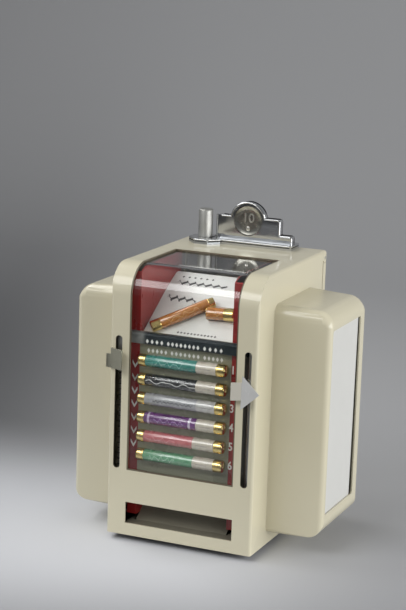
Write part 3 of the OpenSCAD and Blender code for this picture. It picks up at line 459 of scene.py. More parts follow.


# card and header: one colour gives way to another, upwards on the card and to the right on the header, whose
# pale left end is a painted highlight
fadedLooks = {
    "whiteCard": {"axis": 2, "fade": (200.0, 253.0), "blend": "LINEAR", "from": (0.66, 0.665, 0.625),
                  "to": (0.70, 0.71, 0.68), "spread": 0.03, "blotch": 30.0, "rough": (0.4, 0.55),
                  "grain": 1100.0, "detail": 3.0, "specular": 0.5},
    # the pale grey at the header's left end is a painted glint, fading into the slate colour
    "slateHeader": {"axis": 0, "fade": (-47.0, -41.0), "blend": "SMOOTHSTEP", "from": (0.17, 0.175, 0.165),
                    "to": (0.02, 0.027, 0.03), "spread": 0.06, "blotch": 40.0, "rough": (0.3, 0.42),
                    "grain": 420.0, "detail": 2.0, "specular": 0.15},
}
fadedBase = {"smudge": 60.0, "depth": 10}


def fadedSurface(name, look):
    material, tree, shader = newSurface(name)
    span = [place * mm for place in look["fade"]]
    fade = fadeNode(tree, objectAxes(tree)[look["axis"]], span, look["blend"])
    tone = useGroup(tree, unevenTone, {"Spread": look["spread"], "Size": look["blotch"]})
    tree.links.new(mixColours(tree, fade, rgb(look["from"]), rgb(look["to"])), tone.inputs["Colour"])
    tree.links.new(tone.outputs["Colour"], shader.inputs["Base Color"])
    giveSmudges(tree, shader, look["rough"], fadedBase["smudge"])
    giveGrain(tree, shader, look["grain"], look["detail"], fadedBase["depth"])
    setEvenly(shader, {"Specular IOR Level": look["specular"]})
    return material


surfaces = {"clearPane": paneSurface("clearPane", paneLook)}
for makeSurface, looks in ((enamelSurface, enamelLooks), (metalSurface, metalLooks),
                           (softSurface, softLooks), (wrapSurface, wrapLooks), (fadedSurface, fadedLooks)):
    for name, look in looks.items():
        surfaces[name] = makeSurface(name, look)
print("materials made:", len(surfaces))


# piece helpers, with lengths in mm
def boxOf(node):
    low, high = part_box(node)
    return Vector(low) / mm, Vector(high) / mm


def moved(x, y, z):
    return Matrix.Translation(Vector((x, y, z)) * mm)


def turned(degrees, axis):
    return Matrix.Rotation(math.radians(degrees), 4, axis)


def addPiece(name, mesh, node, surface, at=None, second=None):
    piece = bpy.data.objects.new(name, mesh)
    scene.collection.objects.link(piece)
    mesh.materials.append(surfaces[surface])
    if second:
        mesh.materials.append(surfaces[second])
    if at is not None:
        piece.matrix_world = at
    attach(piece, bodyOfNode[node])
    return piece


# a piece that is shown in place of a CAD node
def standIn(name, mesh, node, surface, at=None):
    piece = addPiece(name, mesh, node, surface, at)
    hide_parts(node)
    return piece


def smoothByAngle(mesh, degrees):
    mesh.polygons.foreach_set("use_smooth", [True] * len(mesh.polygons))
    mesh.set_sharp_from_angle(angle=math.radians(degrees))


def meshFrom(shape, name, degrees=30):
    mesh = bpy.data.meshes.new(name)
    shape.to_mesh(mesh)
    shape.free()
    smoothByAngle(mesh, degrees)
    return mesh


# a copy of a CAD solid with its edges softened, as pressed sheet and castings have them
softEdges = {"sheet": (0.45, 2), "door": (0.5, 2), "casting": (0.5, 3), "sidePlate": (0.3, 2)}
copyLook = {"weld": 0.000001, "flatAngle": 0.5, "edgeAngle": 32}


def dressedCopy(node, surface, edge, second=None, isSecond=None, reshape=None):
    shape = bmesh.new()
    shape.from_mesh(frame["nodes"][node].data)
    bmesh.ops.remove_doubles(shape, verts=shape.verts, dist=copyLook["weld"])
    bmesh.ops.dissolve_limit(shape, angle_limit=math.radians(copyLook["flatAngle"]), verts=shape.verts,
                             edges=shape.edges)
    if reshape:
        reshape(shape)
    for face in shape.faces:
        face.material_index = 1 if second and isSecond(face.calc_center_median() / mm, face.normal) else 0
    mesh = meshFrom(shape, node + "Dressed")
    if "custom_normal" in mesh.attributes:
        mesh.attributes.remove(mesh.attributes["custom_normal"])
    piece = addPiece(node + "Dressed", mesh, node, surface, second=second)
    bevel = piece.modifiers.new("softEdge", "BEVEL")
    width, bevel.segments = softEdges[edge]
    bevel.width = width * mm
    bevel.limit_method, bevel.angle_limit = "ANGLE", math.radians(copyLook["edgeAngle"])
    bevel.harden_normals = True
    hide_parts(node)


# skin over rings of points, with end faces unless the last ring meets the first
def skinRings(shape, rings, closed=False):
    count = len(rings[0])
    spans = list(zip(rings, rings[1:])) + ([(rings[-1], rings[0])] if closed else [])
    faces = [shape.faces.new((low[i], low[(i + 1) % count], high[(i + 1) % count], high[i]))
             for low, high in spans for i in range(count)]
    if not closed:
        faces += [shape.faces.new(rings[0]), shape.faces.new(rings[-1])]
    bmesh.ops.recalc_face_normals(shape, faces=faces)


# points of a turned profile, each given from one place along it and one radius
def profileFrom(along, radius, points, way=1):
    return [(along + way * onward, radius + out) for onward, out in points]


# turned shape: a profile of (along, radius) swept round an axis; flat cuts the far side off level
def addLathe(shape, profile, axis="X", steps=48, centre=(0, 0, 0), flat=math.inf):
    rings = []
    for along, radius in profile:
        ring = []
        for i in range(steps):
            turn = 2 * math.pi * i / steps
            a, b = min(radius * math.cos(turn), flat), radius * math.sin(turn)
            point = {"X": (along, a, b), "Y": (a, along, b), "Z": (a, b, along)}[axis]
            ring.append(shape.verts.new((Vector(point) + Vector(centre)) * mm))
        rings.append(ring)
    skinRings(shape, rings)


def latheMesh(name, profile, axis="X", steps=48, flat=math.inf):
    shape = bmesh.new()
    addLathe(shape, profile, axis, steps, flat=flat)
    return meshFrom(shape, name, 28)


# round bar along a path, for beads and wire
def addBar(shape, path, radius, sides=12, closed=False):
    points = [Vector(point) for point in path]
    turns = [2 * math.pi * k / sides for k in range(sides)]
    count = len(points)
    rings, across = [], None
    for i, point in enumerate(points):
        ahead = points[(i + 1) % count] if closed or i + 1 < count else point
        behind = points[i - 1] if closed or i else point
        along = (ahead - behind).normalized()
        across = across or along.orthogonal().normalized()
        across = (across - along * across.dot(along)).normalized()
        side = along.cross(across)
        rings.append([shape.verts.new((point + radius * (math.cos(t) * across + math.sin(t) * side)) * mm)
                      for t in turns])
    skinRings(shape, rings, closed)


# corners of a line of flat points rounded off, as a bent or cast edge has them
def softLine(points, radius, closed=False, steps=6):
    line, count = [], len(points)
    for i, point in enumerate(points):
        here = Vector(point)
        if not closed and i in (0, count - 1):
            line.append(here)
            continue
        before, after = Vector(points[i - 1]) - here, Vector(points[(i + 1) % count]) - here
        reach = min(radius, before.length / 2, after.length / 2)
        start, end = here + before.normalized() * reach, here + after.normalized() * reach
        for k in range(steps + 1):
            s = k / steps
            line.append((1 - s) ** 2 * start + 2 * s * (1 - s) * here + s * s * end)
    return line


# thin printed shape: an outline laid in a plane, with a little thickness
def addPrint(shape, outline, lift=0.12):
    skinRings(shape, [[shape.verts.new(Vector((x, y, z)) * mm) for x, y in outline] for z in (0, lift)])


# cabinet, wings and door in cream enamel; the inside of the shell and the edges of its slots get a dark dull
# paint, which also paints the shade inside the cabinet and in the slots
shellLook = {"heart": (0, 5, 138), "inward": 0.15, "half": 74.2, "front": -83.2, "top": 269.0,
             "slotX": (61.0, 70.5), "slotY": (-84.1, -80.0), "slotFacing": 0.5}


def insideShell(centre, normal):
    look = shellLook
    inward = normal.dot((Vector(look["heart"]) - centre).normalized()) > look["inward"]
    deep = abs(centre.x) < look["half"] and centre.y > look["front"] and centre.z < look["top"]
    inSlot = (look["slotX"][0] < abs(centre.x) < look["slotX"][1]
              and look["slotY"][0] < centre.y < look["slotY"][1])
    return deep and inward or inSlot and abs(normal.y) < look["slotFacing"]


# wings: the top edges at front and rear are rolled over an arc, inside and outside of the sheet alike
wingLook = {"roll": 10.0, "sheet": 1.5, "middle": 5.775, "half": 52.0, "taper": 1.5, "root": 75.0,
            "out": 131.0, "top": 240.0, "draft": 3.0, "corner": 15.5,
            "step": 1.25, "cutsAcross": 9, "cutsDown": 23, "cutSnap": 0.0000001}


def cutForRoll(shape, look):
    cuts = [((0, look["middle"] + side * (look["half"] - look["step"] * i), 0), (0, 1, 0))
            for side in (-1, 1) for i in range(1, look["cutsAcross"] + 1)]
    cuts += [((0, 0, look["top"] - look["step"] * i), (0, 0, 1)) for i in range(1, look["cutsDown"] + 1)]
    for place, facing in cuts:
        bmesh.ops.bisect_plane(shape, geom=[*shape.verts, *shape.edges, *shape.faces],
                               dist=look["cutSnap"], plane_co=Vector(place) * mm, plane_no=facing)
    shape.normal_update()


def rollWingEdges(shape):
    look = wingLook
    cutForRoll(shape, look)
    roll, middle, span, corner = look["roll"], look["middle"], look["out"] - look["root"], look["corner"]
    bend, slope = look["out"] - corner, look["draft"] / span
    bendZ = look["top"] - slope * (bend - look["root"]) - corner * math.hypot(1, slope)
    moves = []
    for vert in shape.verts:
        x, y, z = abs(vert.co.x) / mm, vert.co.y / mm - middle, vert.co.z / mm
        top = look["top"] - slope * (x - look["root"])
        if x > bend:
            top = min(top, bendZ + math.sqrt(max(0.0, corner ** 2 - (x - bend) ** 2)))
        half = look["half"] - look["taper"] * (x - look["root"]) / span
        side = 1 if y > 0 else -1
        a, b = abs(y) - half + roll, z - top + roll
        if a <= 0 or b <= 0:
            continue
        outside = vert.normal.y * side * a + vert.normal.z * b > 0
        limit = roll if outside else roll - look["sheet"]
        reach = math.hypot(a, b)
        if reach > limit:
            a, b = a * limit / reach, b * limit / reach
            moves.append((vert, middle + side * (half - roll + a), top - roll + b))
    for vert, y, z in moves:
        vert.co.y, vert.co.z = y * mm, z * mm


dressedCopy("cabinet_shell", "creamEnamel", "sheet", "insidePaintAndShade", insideShell)
dressedCopy("left_wing", "creamEnamel", "sheet", reshape=rollWingEdges)
dressedCopy("right_wing", "creamEnamel", "sheet", reshape=rollWingEdges)
dressedCopy("rear_door", "creamEnamel", "door")
print("cabinet dressed")

# coin head: casting with bright beads along its edges, and black bars behind and below them that paint the
# shade lines there
headLook = {"bead": 1.1, "inset": 0.55, "corner": 2.4, "arcSteps": 40, "frontBead": -0.3, "rearShadeLine": 6.7,
            "plateStart": -31.5, "plateTop": 28.0, "plateEnd": 31.0, "stepTop": 12.5, "stepEnd": 44.0,
            "foot": 4.0, "base": [(-27.5, 66.28), (46.5, 66.28), (46.5, 87.9), (-52.0, 87.3), (-61.5, 77.9),
                                  (-61.5, 64.0), (-52.0, 54.47), (-38.0, 54.47), (-28.5, 63.9)],
            "baseCorner": 1.8, "baseBead": 0.9, "baseTop": 5.0, "baseShadeLine": 0.75, "baseShadeLineUp": 2.6,
            "padEnd": -28.0, "padTop": 275.0, "coveFacing": 0.3, "level": 0.1}


# the sloping coves and the sides of the post's pad are duller than the rest
def dullOnHead(centre, normal):
    look, level = headLook, headLook["level"]
    cove = abs(normal.x) < look["coveFacing"] and normal.y < -level and normal.z > level
    padSide = centre.x < look["padEnd"] and centre.z < look["padTop"] and abs(normal.z) < level
    return cove or padSide


def addHeadBeads(look):
    low, high = boxOf("coin_head")
    discLow, discHigh = boxOf("coin_disc")
    ringX, ringZ = (discLow.x + discHigh.x) / 2, (discLow.z + discHigh.z) / 2
    inset, steps = look["inset"], look["arcSteps"]
    ringR = high.z - ringZ - inset
    plateZ, stepZ = low.z + look["plateTop"] - inset, low.z + look["stepTop"] - inset
    plateX, stepX = look["plateEnd"] - inset, look["stepEnd"] - inset
    bite = math.asin((plateZ - ringZ) / ringR)
    turns = [math.pi - bite - (math.pi - 2 * bite) * k / steps for k in range(steps + 1)]
    arc = [Vector((ringX + ringR * math.cos(t), ringZ + ringR * math.sin(t))) for t in turns]
    stairs = [arc[-1], (plateX, plateZ), (plateX, stepZ), (stepX, stepZ), (stepX, low.z + look["foot"])]
    edge = [Vector((look["plateStart"], plateZ)), *arc[:-1], *softLine(stairs, look["corner"])]
    base = softLine(look["base"], look["baseCorner"], closed=True, steps=4)
    bright, shadeLines = bmesh.new(), bmesh.new()
    addBar(bright, [(p.x, discLow.y + look["frontBead"], p.y) for p in edge], look["bead"])
    # black bars behind the plate's bead and under the base's bead: painted shade lines
    addBar(shadeLines, [(p.x, discLow.y + look["rearShadeLine"], p.y) for p in edge], look["bead"])
    beadZ = low.z + look["baseTop"] - look["baseBead"]
    addBar(bright, [(p.x, p.y, beadZ) for p in base], look["baseBead"], closed=True)
    addBar(shadeLines, [(p.x, p.y, low.z + look["baseShadeLineUp"]) for p in base], look["baseShadeLine"], closed=True)
    addPiece("coinHeadBeads", meshFrom(bright, "coinHeadBeads", 40), "coin_head", "polishedChrome")
    addPiece("coinHeadShadeLines", meshFrom(shadeLines, "coinHeadShadeLines", 40), "coin_head", "shadeLineBlack")


dressedCopy("coin_head", "polishedChrome", "casting", "coveMetal", dullOnHead)
dressedCopy("lock_barrel", "polishedChrome", "casting")
addHeadBeads(headLook)

# coin post: turned, with a fine groove under its dished top; foot and top are (up, out) from end and radius
postLook = {"radius": 7.2, "foot": [(0, -0.4), (0.3, 0)],
            "top": [(-1.6, 0), (-1.2, -0.15), (-0.9, 0), (-0.4, -0.25), (-0.05, -0.9), (-0.2, -1.5),
                    (-0.35, -4)]}


def addPost(look):
    low, high = boxOf("coin_post")
    middle, r = (low + high) / 2, look["radius"]
    profile = profileFrom(0, r, look["foot"]) + profileFrom(high.z - low.z, r, look["top"])
    mesh = latheMesh("coinPostTurned", profile, "Z", 56)
    standIn("coinPostTurned", mesh, "coin_post", "satinPost", moved(middle.x, middle.y, low.z))


addPost(postLook)

# lettering: size is set so that a figure has the height asked for
textLook = {"sizePerHeight": 1.38, "bevelPerLift": 0.3, "fineness": 4}


def textMesh(name, words, height, lift, bold=0.0):
    curve = bpy.data.curves.new(name, "FONT")
    curve.body, curve.size, curve.extrude = words, height * textLook["sizePerHeight"] * mm, lift * mm
    curve.align_x, curve.align_y = "CENTER", "CENTER"
    curve.bevel_depth, curve.resolution_u = lift * textLook["bevelPerLift"] * mm, textLook["fineness"]
    curve.offset = bold * mm
    holder = bpy.data.objects.new(name, curve)
    mesh = bpy.data.meshes.new_from_object(holder)
    bpy.data.objects.remove(holder)
    bpy.data.curves.remove(curve)
    mesh.materials.clear()
    mesh.name = name
    return mesh


# price disc: dished, with a plain raised number and a small boss; rim and boss are (depth, out)
discLook = {"rear": (1.68, 4.0), "middle": (1.12, 1.0),
            "rim": [(1.68, -0.1), (0.3, -0.05), (0.05, -0.3), (0.05, -0.9), (0.25, -1.4), (0.9, -3.6),
                    (1.02, -4.6), (1.1, -8.0)],
            "number": "10", "numberHeight": 9.5, "numberLift": 0.2, "numberDepth": 1.0, "numberUp": 2.2,
            "bossRadius": 2.2, "boss": [(1.1, 0), (0.75, 0), (0.55, -0.35), (0.5, -1.2)], "bossDown": 8.2}


def addDisc(look):
    low, high = boxOf("coin_disc")
    middle, r = (low + high) / 2, (high.x - low.x) / 2
    profile = [look["rear"], *profileFrom(0, r, look["rim"]), look["middle"]]
    face = latheMesh("coinDiscDished", profile, "Y", 64)
    standIn("coinDiscDished", face, "coin_disc", "discMetal", moved(middle.x, low.y, middle.z))
    number = textMesh("coinDiscNumber", look["number"], look["numberHeight"], look["numberLift"])
    place = moved(middle.x, low.y + look["numberDepth"], middle.z + look["numberUp"]) @ turned(90, "X")
    addPiece("coinDiscNumber", number, "coin_disc", "reliefMetal", place)
    boss = latheMesh("coinDiscBoss", profileFrom(0, look["bossRadius"], look["boss"]), "Y", 32)
    place = moved(middle.x, low.y, middle.z - look["bossDown"])
    addPiece("coinDiscBoss", boss, "coin_disc", "reliefMetal", place)


addDisc(discLook)
print("coin head dressed")

# levers in bent sheet; the pointer's inner end has worn paint
pointerEndX = 60.6
dressedCopy("operate_lever", "leverPlate", "casting")
dressedCopy("select_pointer", "silverPlate", "casting", "wornEnamel",
            lambda centre, normal: centre.x < pointerEndX)
print("levers dressed")

# magazine side plates: maroon towards the window, dark steel on the outside; the dark outside and the
# near-black edge of the right plate also paint the shade seen through the slots
outwards = 0.7
dressedCopy("left_side_plate", "maroonEnamel", "sidePlate", "darkSteelAndSlotShade",
            lambda centre, normal: normal.x < -outwards)
dressedCopy("right_side_plate", "maroonEdge", "sidePlate", "darkSteelAndSlotShade",
            lambda centre, normal: normal.x > outwards)

# scent tubes: wrapped sleeve with the label a little proud of it, and drawn brass caps with a groove
tubeLook = {"half": 44.8, "leftCap": 8.2, "rightCap": 9.2, "sleeve": 5.9, "cap": 6.1, "axisDepth": 5.4,
            "clear": 0.02, "leftGroove": 1.0, "rightGroove": 0.9, "labelStart": [(-0.05, 0), (0, 0.09)],
            "sleeveStart": [(0, -0.6), (0, -0.05), (0.1, 0)],
            "sleeveEnd": [(-0.15, 0.09), (0, 0), (0, -0.6)],
            "crown": [(0, -2.4), (0.12, -1.5), (0.5, -0.65), (1.1, -0.18), (1.8, 0)],
            "groove": [(0.7, 0), (0.5, -0.14), (0.2, -0.14), (0, 0)], "lip": [(0.25, 0.04), (0, -0.1)]}
tubeWraps = {1: "tealWrap", 2: "blackWrap", 3: "silverWrap", 4: "purpleWrap", 5: "pinkWrap", 6: "greenWrap"}


# a cap's profile from its crowned end to its mouth; way is 1 where the mouth is to the right
def capProfile(look, end, mouth, groove, way):
    r = look["cap"]
    return (profileFrom(end, r, look["crown"], way)
            + profileFrom(mouth - way * groove, r, look["groove"], -way)
            + profileFrom(mouth, r, look["lip"], -way))


def addTubes(look):
    panelY = boxOf("display_panel")[0].y
    left, right, r = -look["half"], look["half"], look["sleeve"]
    startX, endX = left + look["leftCap"], right - look["rightCap"]
    caps = (capProfile(look, left, startX, look["leftGroove"], 1),
            capProfile(look, right, endX, look["rightGroove"], -1)[::-1])
    capShape = bmesh.new()
    for row, wrap in tubeWraps.items():
        name, node = "scentTube%d" % row, "tube_%d" % row
        low, high = boxOf(node)
        centre = Vector((low.x - startX, low.y + look["axisDepth"], (low.z + high.z) / 2))
        flat = panelY - centre.y - look["clear"]
        sleeve = (profileFrom(startX, r, look["sleeveStart"])
                  + profileFrom(wrapLooks[wrap]["label"], r, look["labelStart"])
                  + profileFrom(endX, r, look["sleeveEnd"]))
        standIn(name, latheMesh(name, sleeve, flat=flat), node, wrap, moved(*centre))
        for profile in caps:
            addLathe(capShape, profile, centre=centre, flat=flat)
    standIn("brassCaps", meshFrom(capShape, "brassCaps", 24), "tube_caps", "brassCap")


addTubes(tubeLook)
print("scent tubes made")

# sample tube and its cap, lying on the sloping card; points are (along, out) from an end of each stretch
cardSlope = {"foot": (0, -66.925, 200), "rise": 53.0, "run": 82.7}
cardTilt = math.degrees(math.atan2(cardSlope["rise"], cardSlope["run"]))
cardFrame = moved(*cardSlope["foot"]) @ turned(cardTilt, "X")
sampleLook = {"place": (-42, 7, 5.7), "turn": 41.4, "roll": -41, "long": 65.0, "radius": 5.6,
              "goldEnd": 9.7, "ferrule": 6.2,
              "sleeveStart": [(0, -0.6), (0, -0.1), (0.2, 0)],
              "sleeveEnd": [(-0.3, 0), (0, -0.2), (0, -1.0)],
              "crown": [(0, -2.2), (0.15, -1.2), (0.6, -0.4), (1.3, 0)],
              "mouth": [(-1.2, 0), (-1.0, -0.15), (-0.8, -0.15), (-0.6, 0), (0, -0.05)],
              "ferruleFoot": [(0, -0.5), (0.5, -0.35), (1.0, -0.6)],
              "ferruleTip": [(-3.6, -0.6), (-3.3, -0.35), (-2.9, -0.35), (-2.6, -0.7), (-0.5, -0.7),
                             (-0.1, -1.0), (0, -1.6)]}
sampleCapLook = {"place": (6, 34, 6.1), "turn": 3, "roll": -45, "long": 28.0, "radius": 6.0,
                 "band": 10.4, "bore": 5.1, "boreEnd": [(-6.1, 0.5), (-6.1, 5.1)],
                 "boreMouth": [(0.5, 0), (0.1, 0.2)], "mouth": [(0.1, -0.25), (0.35, -0.02)],
                 "sleeveIn": 0.02, "sleeveHem": 0.3,
                 "bandStart": [(0, -0.3), (0.1, 0), (0.9, 0.02), (1.1, -0.14), (1.4, -0.14), (1.6, 0)],
                 "bandEnd": [(-1.2, 0), (-0.4, -0.4), (-0.1, -1.1), (0, -2.4)],
                 "rimAt": 0.25, "rimIn": 0.1, "rimWire": 0.28, "rimSteps": 48}


def onCard(look):
    lie = turned(look["turn"], "Z") @ turned(look["roll"], "X")
    return cardFrame @ moved(*look["place"]) @ lie @ moved(look["long"] / 2, 0, 0)


def addSample(look):
    r, end = look["radius"], look["long"] / 2
    gold, neck = look["goldEnd"] - end, end - look["ferrule"]
    sleeve = profileFrom(gold, r, look["sleeveStart"]) + profileFrom(neck, r, look["sleeveEnd"])
    standIn("sampleSleeve", latheMesh("sampleSleeve", sleeve), "sample_tube", "amberWrap", onCard(look))
    ends = bmesh.new()
    addLathe(ends, profileFrom(-end, r, look["crown"]) + profileFrom(gold, r, look["mouth"]))
    addLathe(ends, profileFrom(neck, r, look["ferruleFoot"]) + profileFrom(end, r, look["ferruleTip"]))
    addPiece("sampleEnds", meshFrom(ends, "sampleEnds", 24), "sample_tube", "brassCap", onCard(look))


def addSampleCap(look):
    r, bore, end = look["radius"], look["bore"], look["long"] / 2
    band = end - look["band"]
    sleeve = (profileFrom(end, 0, look["boreEnd"]) + profileFrom(-end, bore, look["boreMouth"])
              + profileFrom(-end, r, look["mouth"])
              + [(band, r - look["sleeveIn"]), (band, bore + look["sleeveHem"])])
    mesh = latheMesh("sampleCapSleeve", sleeve)
    standIn("sampleCapSleeve", mesh, "sample_cap", "amberWrap", onCard(look))
    gold = bmesh.new()
    addLathe(gold, profileFrom(band, r, look["bandStart"]) + profileFrom(end, r, look["bandEnd"]))
    rimX, rimR, steps = look["rimAt"] - end, r - look["rimIn"], look["rimSteps"]
    turns = [2 * math.pi * k / steps for k in range(steps)]
    addBar(gold, [(rimX, rimR * math.cos(t), rimR * math.sin(t)) for t in turns], look["rimWire"], 8, True)
    addPiece("sampleCapBand", meshFrom(gold, "sampleCapBand", 24), "sample_cap", "brassCap", onCard(look))


addSample(sampleLook)
addSampleCap(sampleCapLook)
print("sample made")

# plain printing on the card: brushed waves and rows of small lozenges
cardPrint = {
    "lift": 0.06,
    "waves": [{"from": -44.0, "to": 10.0, "up": 77.5, "swing": 3.4, "count": 6.5, "fat": 2.6},
              {"from": -46.0, "to": -13.5, "up": 54.0, "swing": 3.8, "count": 4.0, "fat": 2.73}],
    "rows": [{"from": -40.5, "to": -9.5, "up": 87.2, "pitch": 5.2, "size": (3.0, 3.2)},
             {"from": -16.5, "to": 21.5, "up": 10.2, "pitch": 3.3, "size": (2.4, 2.8)}],
    "brush": {"steps": 26, "lean": 0.45, "shrink": 0.45, "thin": 0.6, "swell": 0.4, "ease": 1.5, "taper": 12,
              "slant": 0.5},
}


def lozengeRow(start, end, pitch, size):
    count = max(2, int((end - start) / pitch) + 1)
    wide, tall = size[0] / 2, size[1] / 2
    places = [start + (end - start) * i / (count - 1) for i in range(count)]
    return [[(x - wide, 0), (x, -tall), (x + wide, 0), (x, tall)] for x in places]


# both edges of a wave that dies down along its way; the pen swells on the rising strokes
def brushWave(wave, brush):
    upper, lower = [], []
    long, swing = wave["to"] - wave["from"], wave["swing"]
    steps = int(brush["steps"] * wave["count"])
    for i in range(steps + 1):
        s = i / steps
        turn = 2 * math.pi * wave["count"] * s
        x = wave["from"] + long * s + swing * brush["lean"] * math.sin(2 * turn)
        y = wave["up"] + swing * (1 - brush["shrink"] * s) * math.sin(turn)
        swell = brush["thin"] + brush["swell"] * max(0.0, math.cos(turn)) ** brush["ease"]
        pen = wave["fat"] * swell * min(1.0, brush["taper"] * s, brush["taper"] * (1 - s)) / 2
        upper.append((x - brush["slant"] * pen, y + pen))
        lower.append((x + brush["slant"] * pen, y - pen))
    return upper, lower


def addCardPrint(look):
    shape = bmesh.new()
    for wave in look["waves"]:
        top, under = ([shape.verts.new(Vector((x, y, look["lift"])) * mm) for x, y in edge]
                      for edge in brushWave(wave, look["brush"]))
        for i in range(len(top) - 1):
            shape.faces.new((under[i], under[i + 1], top[i + 1], top[i]))
    for row in look["rows"]:
        for outline in lozengeRow(row["from"], row["to"], row["pitch"], row["size"]):
            addPrint(shape, [(x, y + row["up"]) for x, y in outline], look["lift"])
    addPiece("cardPrint", meshFrom(shape, "cardPrint"), "display_card", "cardInk", cardFrame)


addCardPrint(cardPrint)

# painted marks: chevrons on the left strip, row numbers on the right one, lozenges on header and panel
markLook = {
    "proud": 0.01, "chevrons": 7, "chevronX": -55.2, "chevronTop": 172.2, "chevronPitch": 13.0,
    "chevronSize": (5.8, 4.8, 3.0),
    "numberX": 45.2, "numberHeight": 8.0, "numberLift": 0.06, "numberBold": 0.22, "numberSqueeze": 0.82,
    "lozenge": (3.1, 4.6), "lozengePitch": 4.2, "lozengeLift": 0.1,
    "lozengeRows": {
        "headerLozenges": {"node": "header_bar", "z": 197.2,
                           "spans": [(-40.5, -25.5), (-18.8, 11.5), (18.3, 35.0)]},
        "panelLozenges": {"node": "display_panel", "z": 187.0,
                          "spans": [(-41.6, -23.8), (-17.4, 9.5), (16.2, 33.4)]},
    },
}
facingFront = turned(90, "X")


def addChevrons(look):
    panelY = boxOf("display_panel")[0].y
    half, rise, thick = (size / 2 for size in look["chevronSize"])
    shape = bmesh.new()
    for i in range(look["chevrons"]):
        z = look["chevronTop"] - look["chevronPitch"] * i
        up, down = z + rise, z - rise
        addPrint(shape, [(-half, up + thick), (-half, up - thick), (0, down - thick), (half, up - thick),
                         (half, up + thick), (0, down + thick)])
    place = moved(look["chevronX"], panelY - look["proud"], 0) @ facingFront
    addPiece("leverChevrons", meshFrom(shape, "leverChevrons"), "left_side_plate", "markPaint", place)


def addRowNumbers(look):
    panelY = boxOf("display_panel")[0].y
    squeeze = Matrix.Diagonal((look["numberSqueeze"], 1, 1, 1))
    for row in tubeWraps:
        low, high = boxOf("tube_%d" % row)
        name = "rowNumber%d" % row
        number = textMesh(name, str(row), look["numberHeight"], look["numberLift"], look["numberBold"])
        place = moved(look["numberX"], panelY - look["numberLift"], (low.z + high.z) / 2) @ facingFront
        addPiece(name, number, "right_side_plate", "markPaint", place @ squeeze)


def addLozenges(look):
    for name, row in look["lozengeRows"].items():
        shape = bmesh.new()
        for start, end in row["spans"]:
            for outline in lozengeRow(start, end, look["lozengePitch"], look["lozenge"]):
                addPrint(shape, outline, look["lozengeLift"])
        place = moved(0, boxOf(row["node"])[0].y - look["proud"], row["z"]) @ facingFront
        addPiece(name, meshFrom(shape, name), row["node"], "markPaint", place)


addChevrons(markLook)
addRowNumbers(markLook)
addLozenges(markLook)
print("print and marks made")

# folded napkins: each leaf has a round fold at the front and loose plies at the back, and the stack leans
# a drift is noise: steps across the leaves and along them, its seed and its amount
napkinLook = {"leaves": 11, "fill": 0.94, "lean": 4.0, "rings": 26, "front": 0.5, "rear": 0.8,
              "sideDrift": (3.1, 2.2, 4.7, 0.09), "frontDrift": (2.7, 2.0, 8.1, 0.5),
              "rearDrift": (5.3, 3.0, 1.9, 0.6),
              "fold": 0.9, "foldSteps": 6, "plies": 4, "plyStep": 0.35, "plyNotch": 1.1,
              "plyGaps": (0.02, 0.12, 0.06),
              "rows": 60, "columns": 30, "faceOut": 0.05, "faceEnds": 0.4, "faceSides": 0.2,
              "ripples": [(5.0, 1.3, 2.3, 0.175), (11.0, 3.1, 7.7, 0.0875)], "wave": (9, 2, 0.07)}


def drift(noiseLook, across, along):
    stepAcross, stepAlong, seed, amount = noiseLook
    return amount * noise.noise(Vector((across * stepAcross, along * stepAlong, seed)))


# plan of one leaf: points of its fold and of its plies, each from the place of that end
def leafSection(thick, look):
    half, ply = thick / 2, thick / look["plies"]
    turns = [math.pi * k / look["foldSteps"] for k in range(look["foldSteps"] + 1)]
    front = [(-half * math.cos(t), half * look["fold"] * (1 - math.sin(t))) for t in turns]
    startGap, endGap, notchGap = look["plyGaps"]
    rear = []
    for k in range(look["plies"]):
        outer, inner = half - ply * k, half - ply * (k + 1)
        inset = -look["plyStep"] * (k % 2)
        rear += [(outer - startGap, inset), (inner + endGap, inset), (inner + notchGap, -look["plyNotch"])]
    return front, rear[:-1]


def addNapkins(node, side, look):
    low, high = boxOf(node)
    deep, tall = high.x - low.x, high.z - low.z
    thick = deep / look["leaves"]
    front, rear = leafSection(thick * look["fill"], look)
    shape = bmesh.new()

    def addPoint(outward, y, z):
        x = low.x + outward if side > 0 else high.x - outward
        return shape.verts.new(Vector((x, y, z)) * mm)

    for leaf in range(look["leaves"]):
        rings = []
        for k in range(look["rings"] + 1):
            s = k / look["rings"]
            z = low.z + tall * s
            outward = (leaf + 0.5) * thick + drift(look["sideDrift"], leaf, s)
            ahead = low.y + look["front"] + drift(look["frontDrift"], leaf, s)
            back = high.y - look["rear"] - look["lean"] * (1 - s) + drift(look["rearDrift"], leaf, s)
            rings.append([addPoint(outward + x, ahead + y, z) for x, y in front]
                         + [addPoint(outward + x, back + y, z) for x, y in rear])
        skinRings(shape, rings)

    # the outer face is a fine sheet with soft ripples
    sheet, waveAcross, waveAlong, waveDepth = [], *look["wave"]
    for j in range(look["rows"] + 1):
        s = j / look["rows"]
        z = low.z + look["faceEnds"] + (tall - 2 * look["faceEnds"]) * s
        start, end = low.y + look["faceSides"], high.y - look["faceSides"] - look["lean"] * (1 - s)
        line = []
        for i in range(look["columns"] + 1):
            u = i / look["columns"]
            ripple = sum(drift(noiseLook, u, s) for noiseLook in look["ripples"])
            ripple += waveDepth * math.sin(u * waveAcross + s * waveAlong)
            line.append(addPoint(deep + look["faceOut"] + ripple, start + (end - start) * u, z))
        sheet.append(line)
    for below, above in zip(sheet, sheet[1:]):
        for i in range(look["columns"]):
            face = shape.faces.new((below[i], below[i + 1], above[i + 1], above[i]))
            face.normal_update()
            if face.normal.x * side < 0:
                face.normal_flip()
    standIn(node + "Folded", meshFrom(shape, node + "Folded", 40), node, "napkinPaper")


addNapkins("right_napkins", 1, napkinLook)
addNapkins("left_napkins", -1, napkinLook)
print("napkins folded")
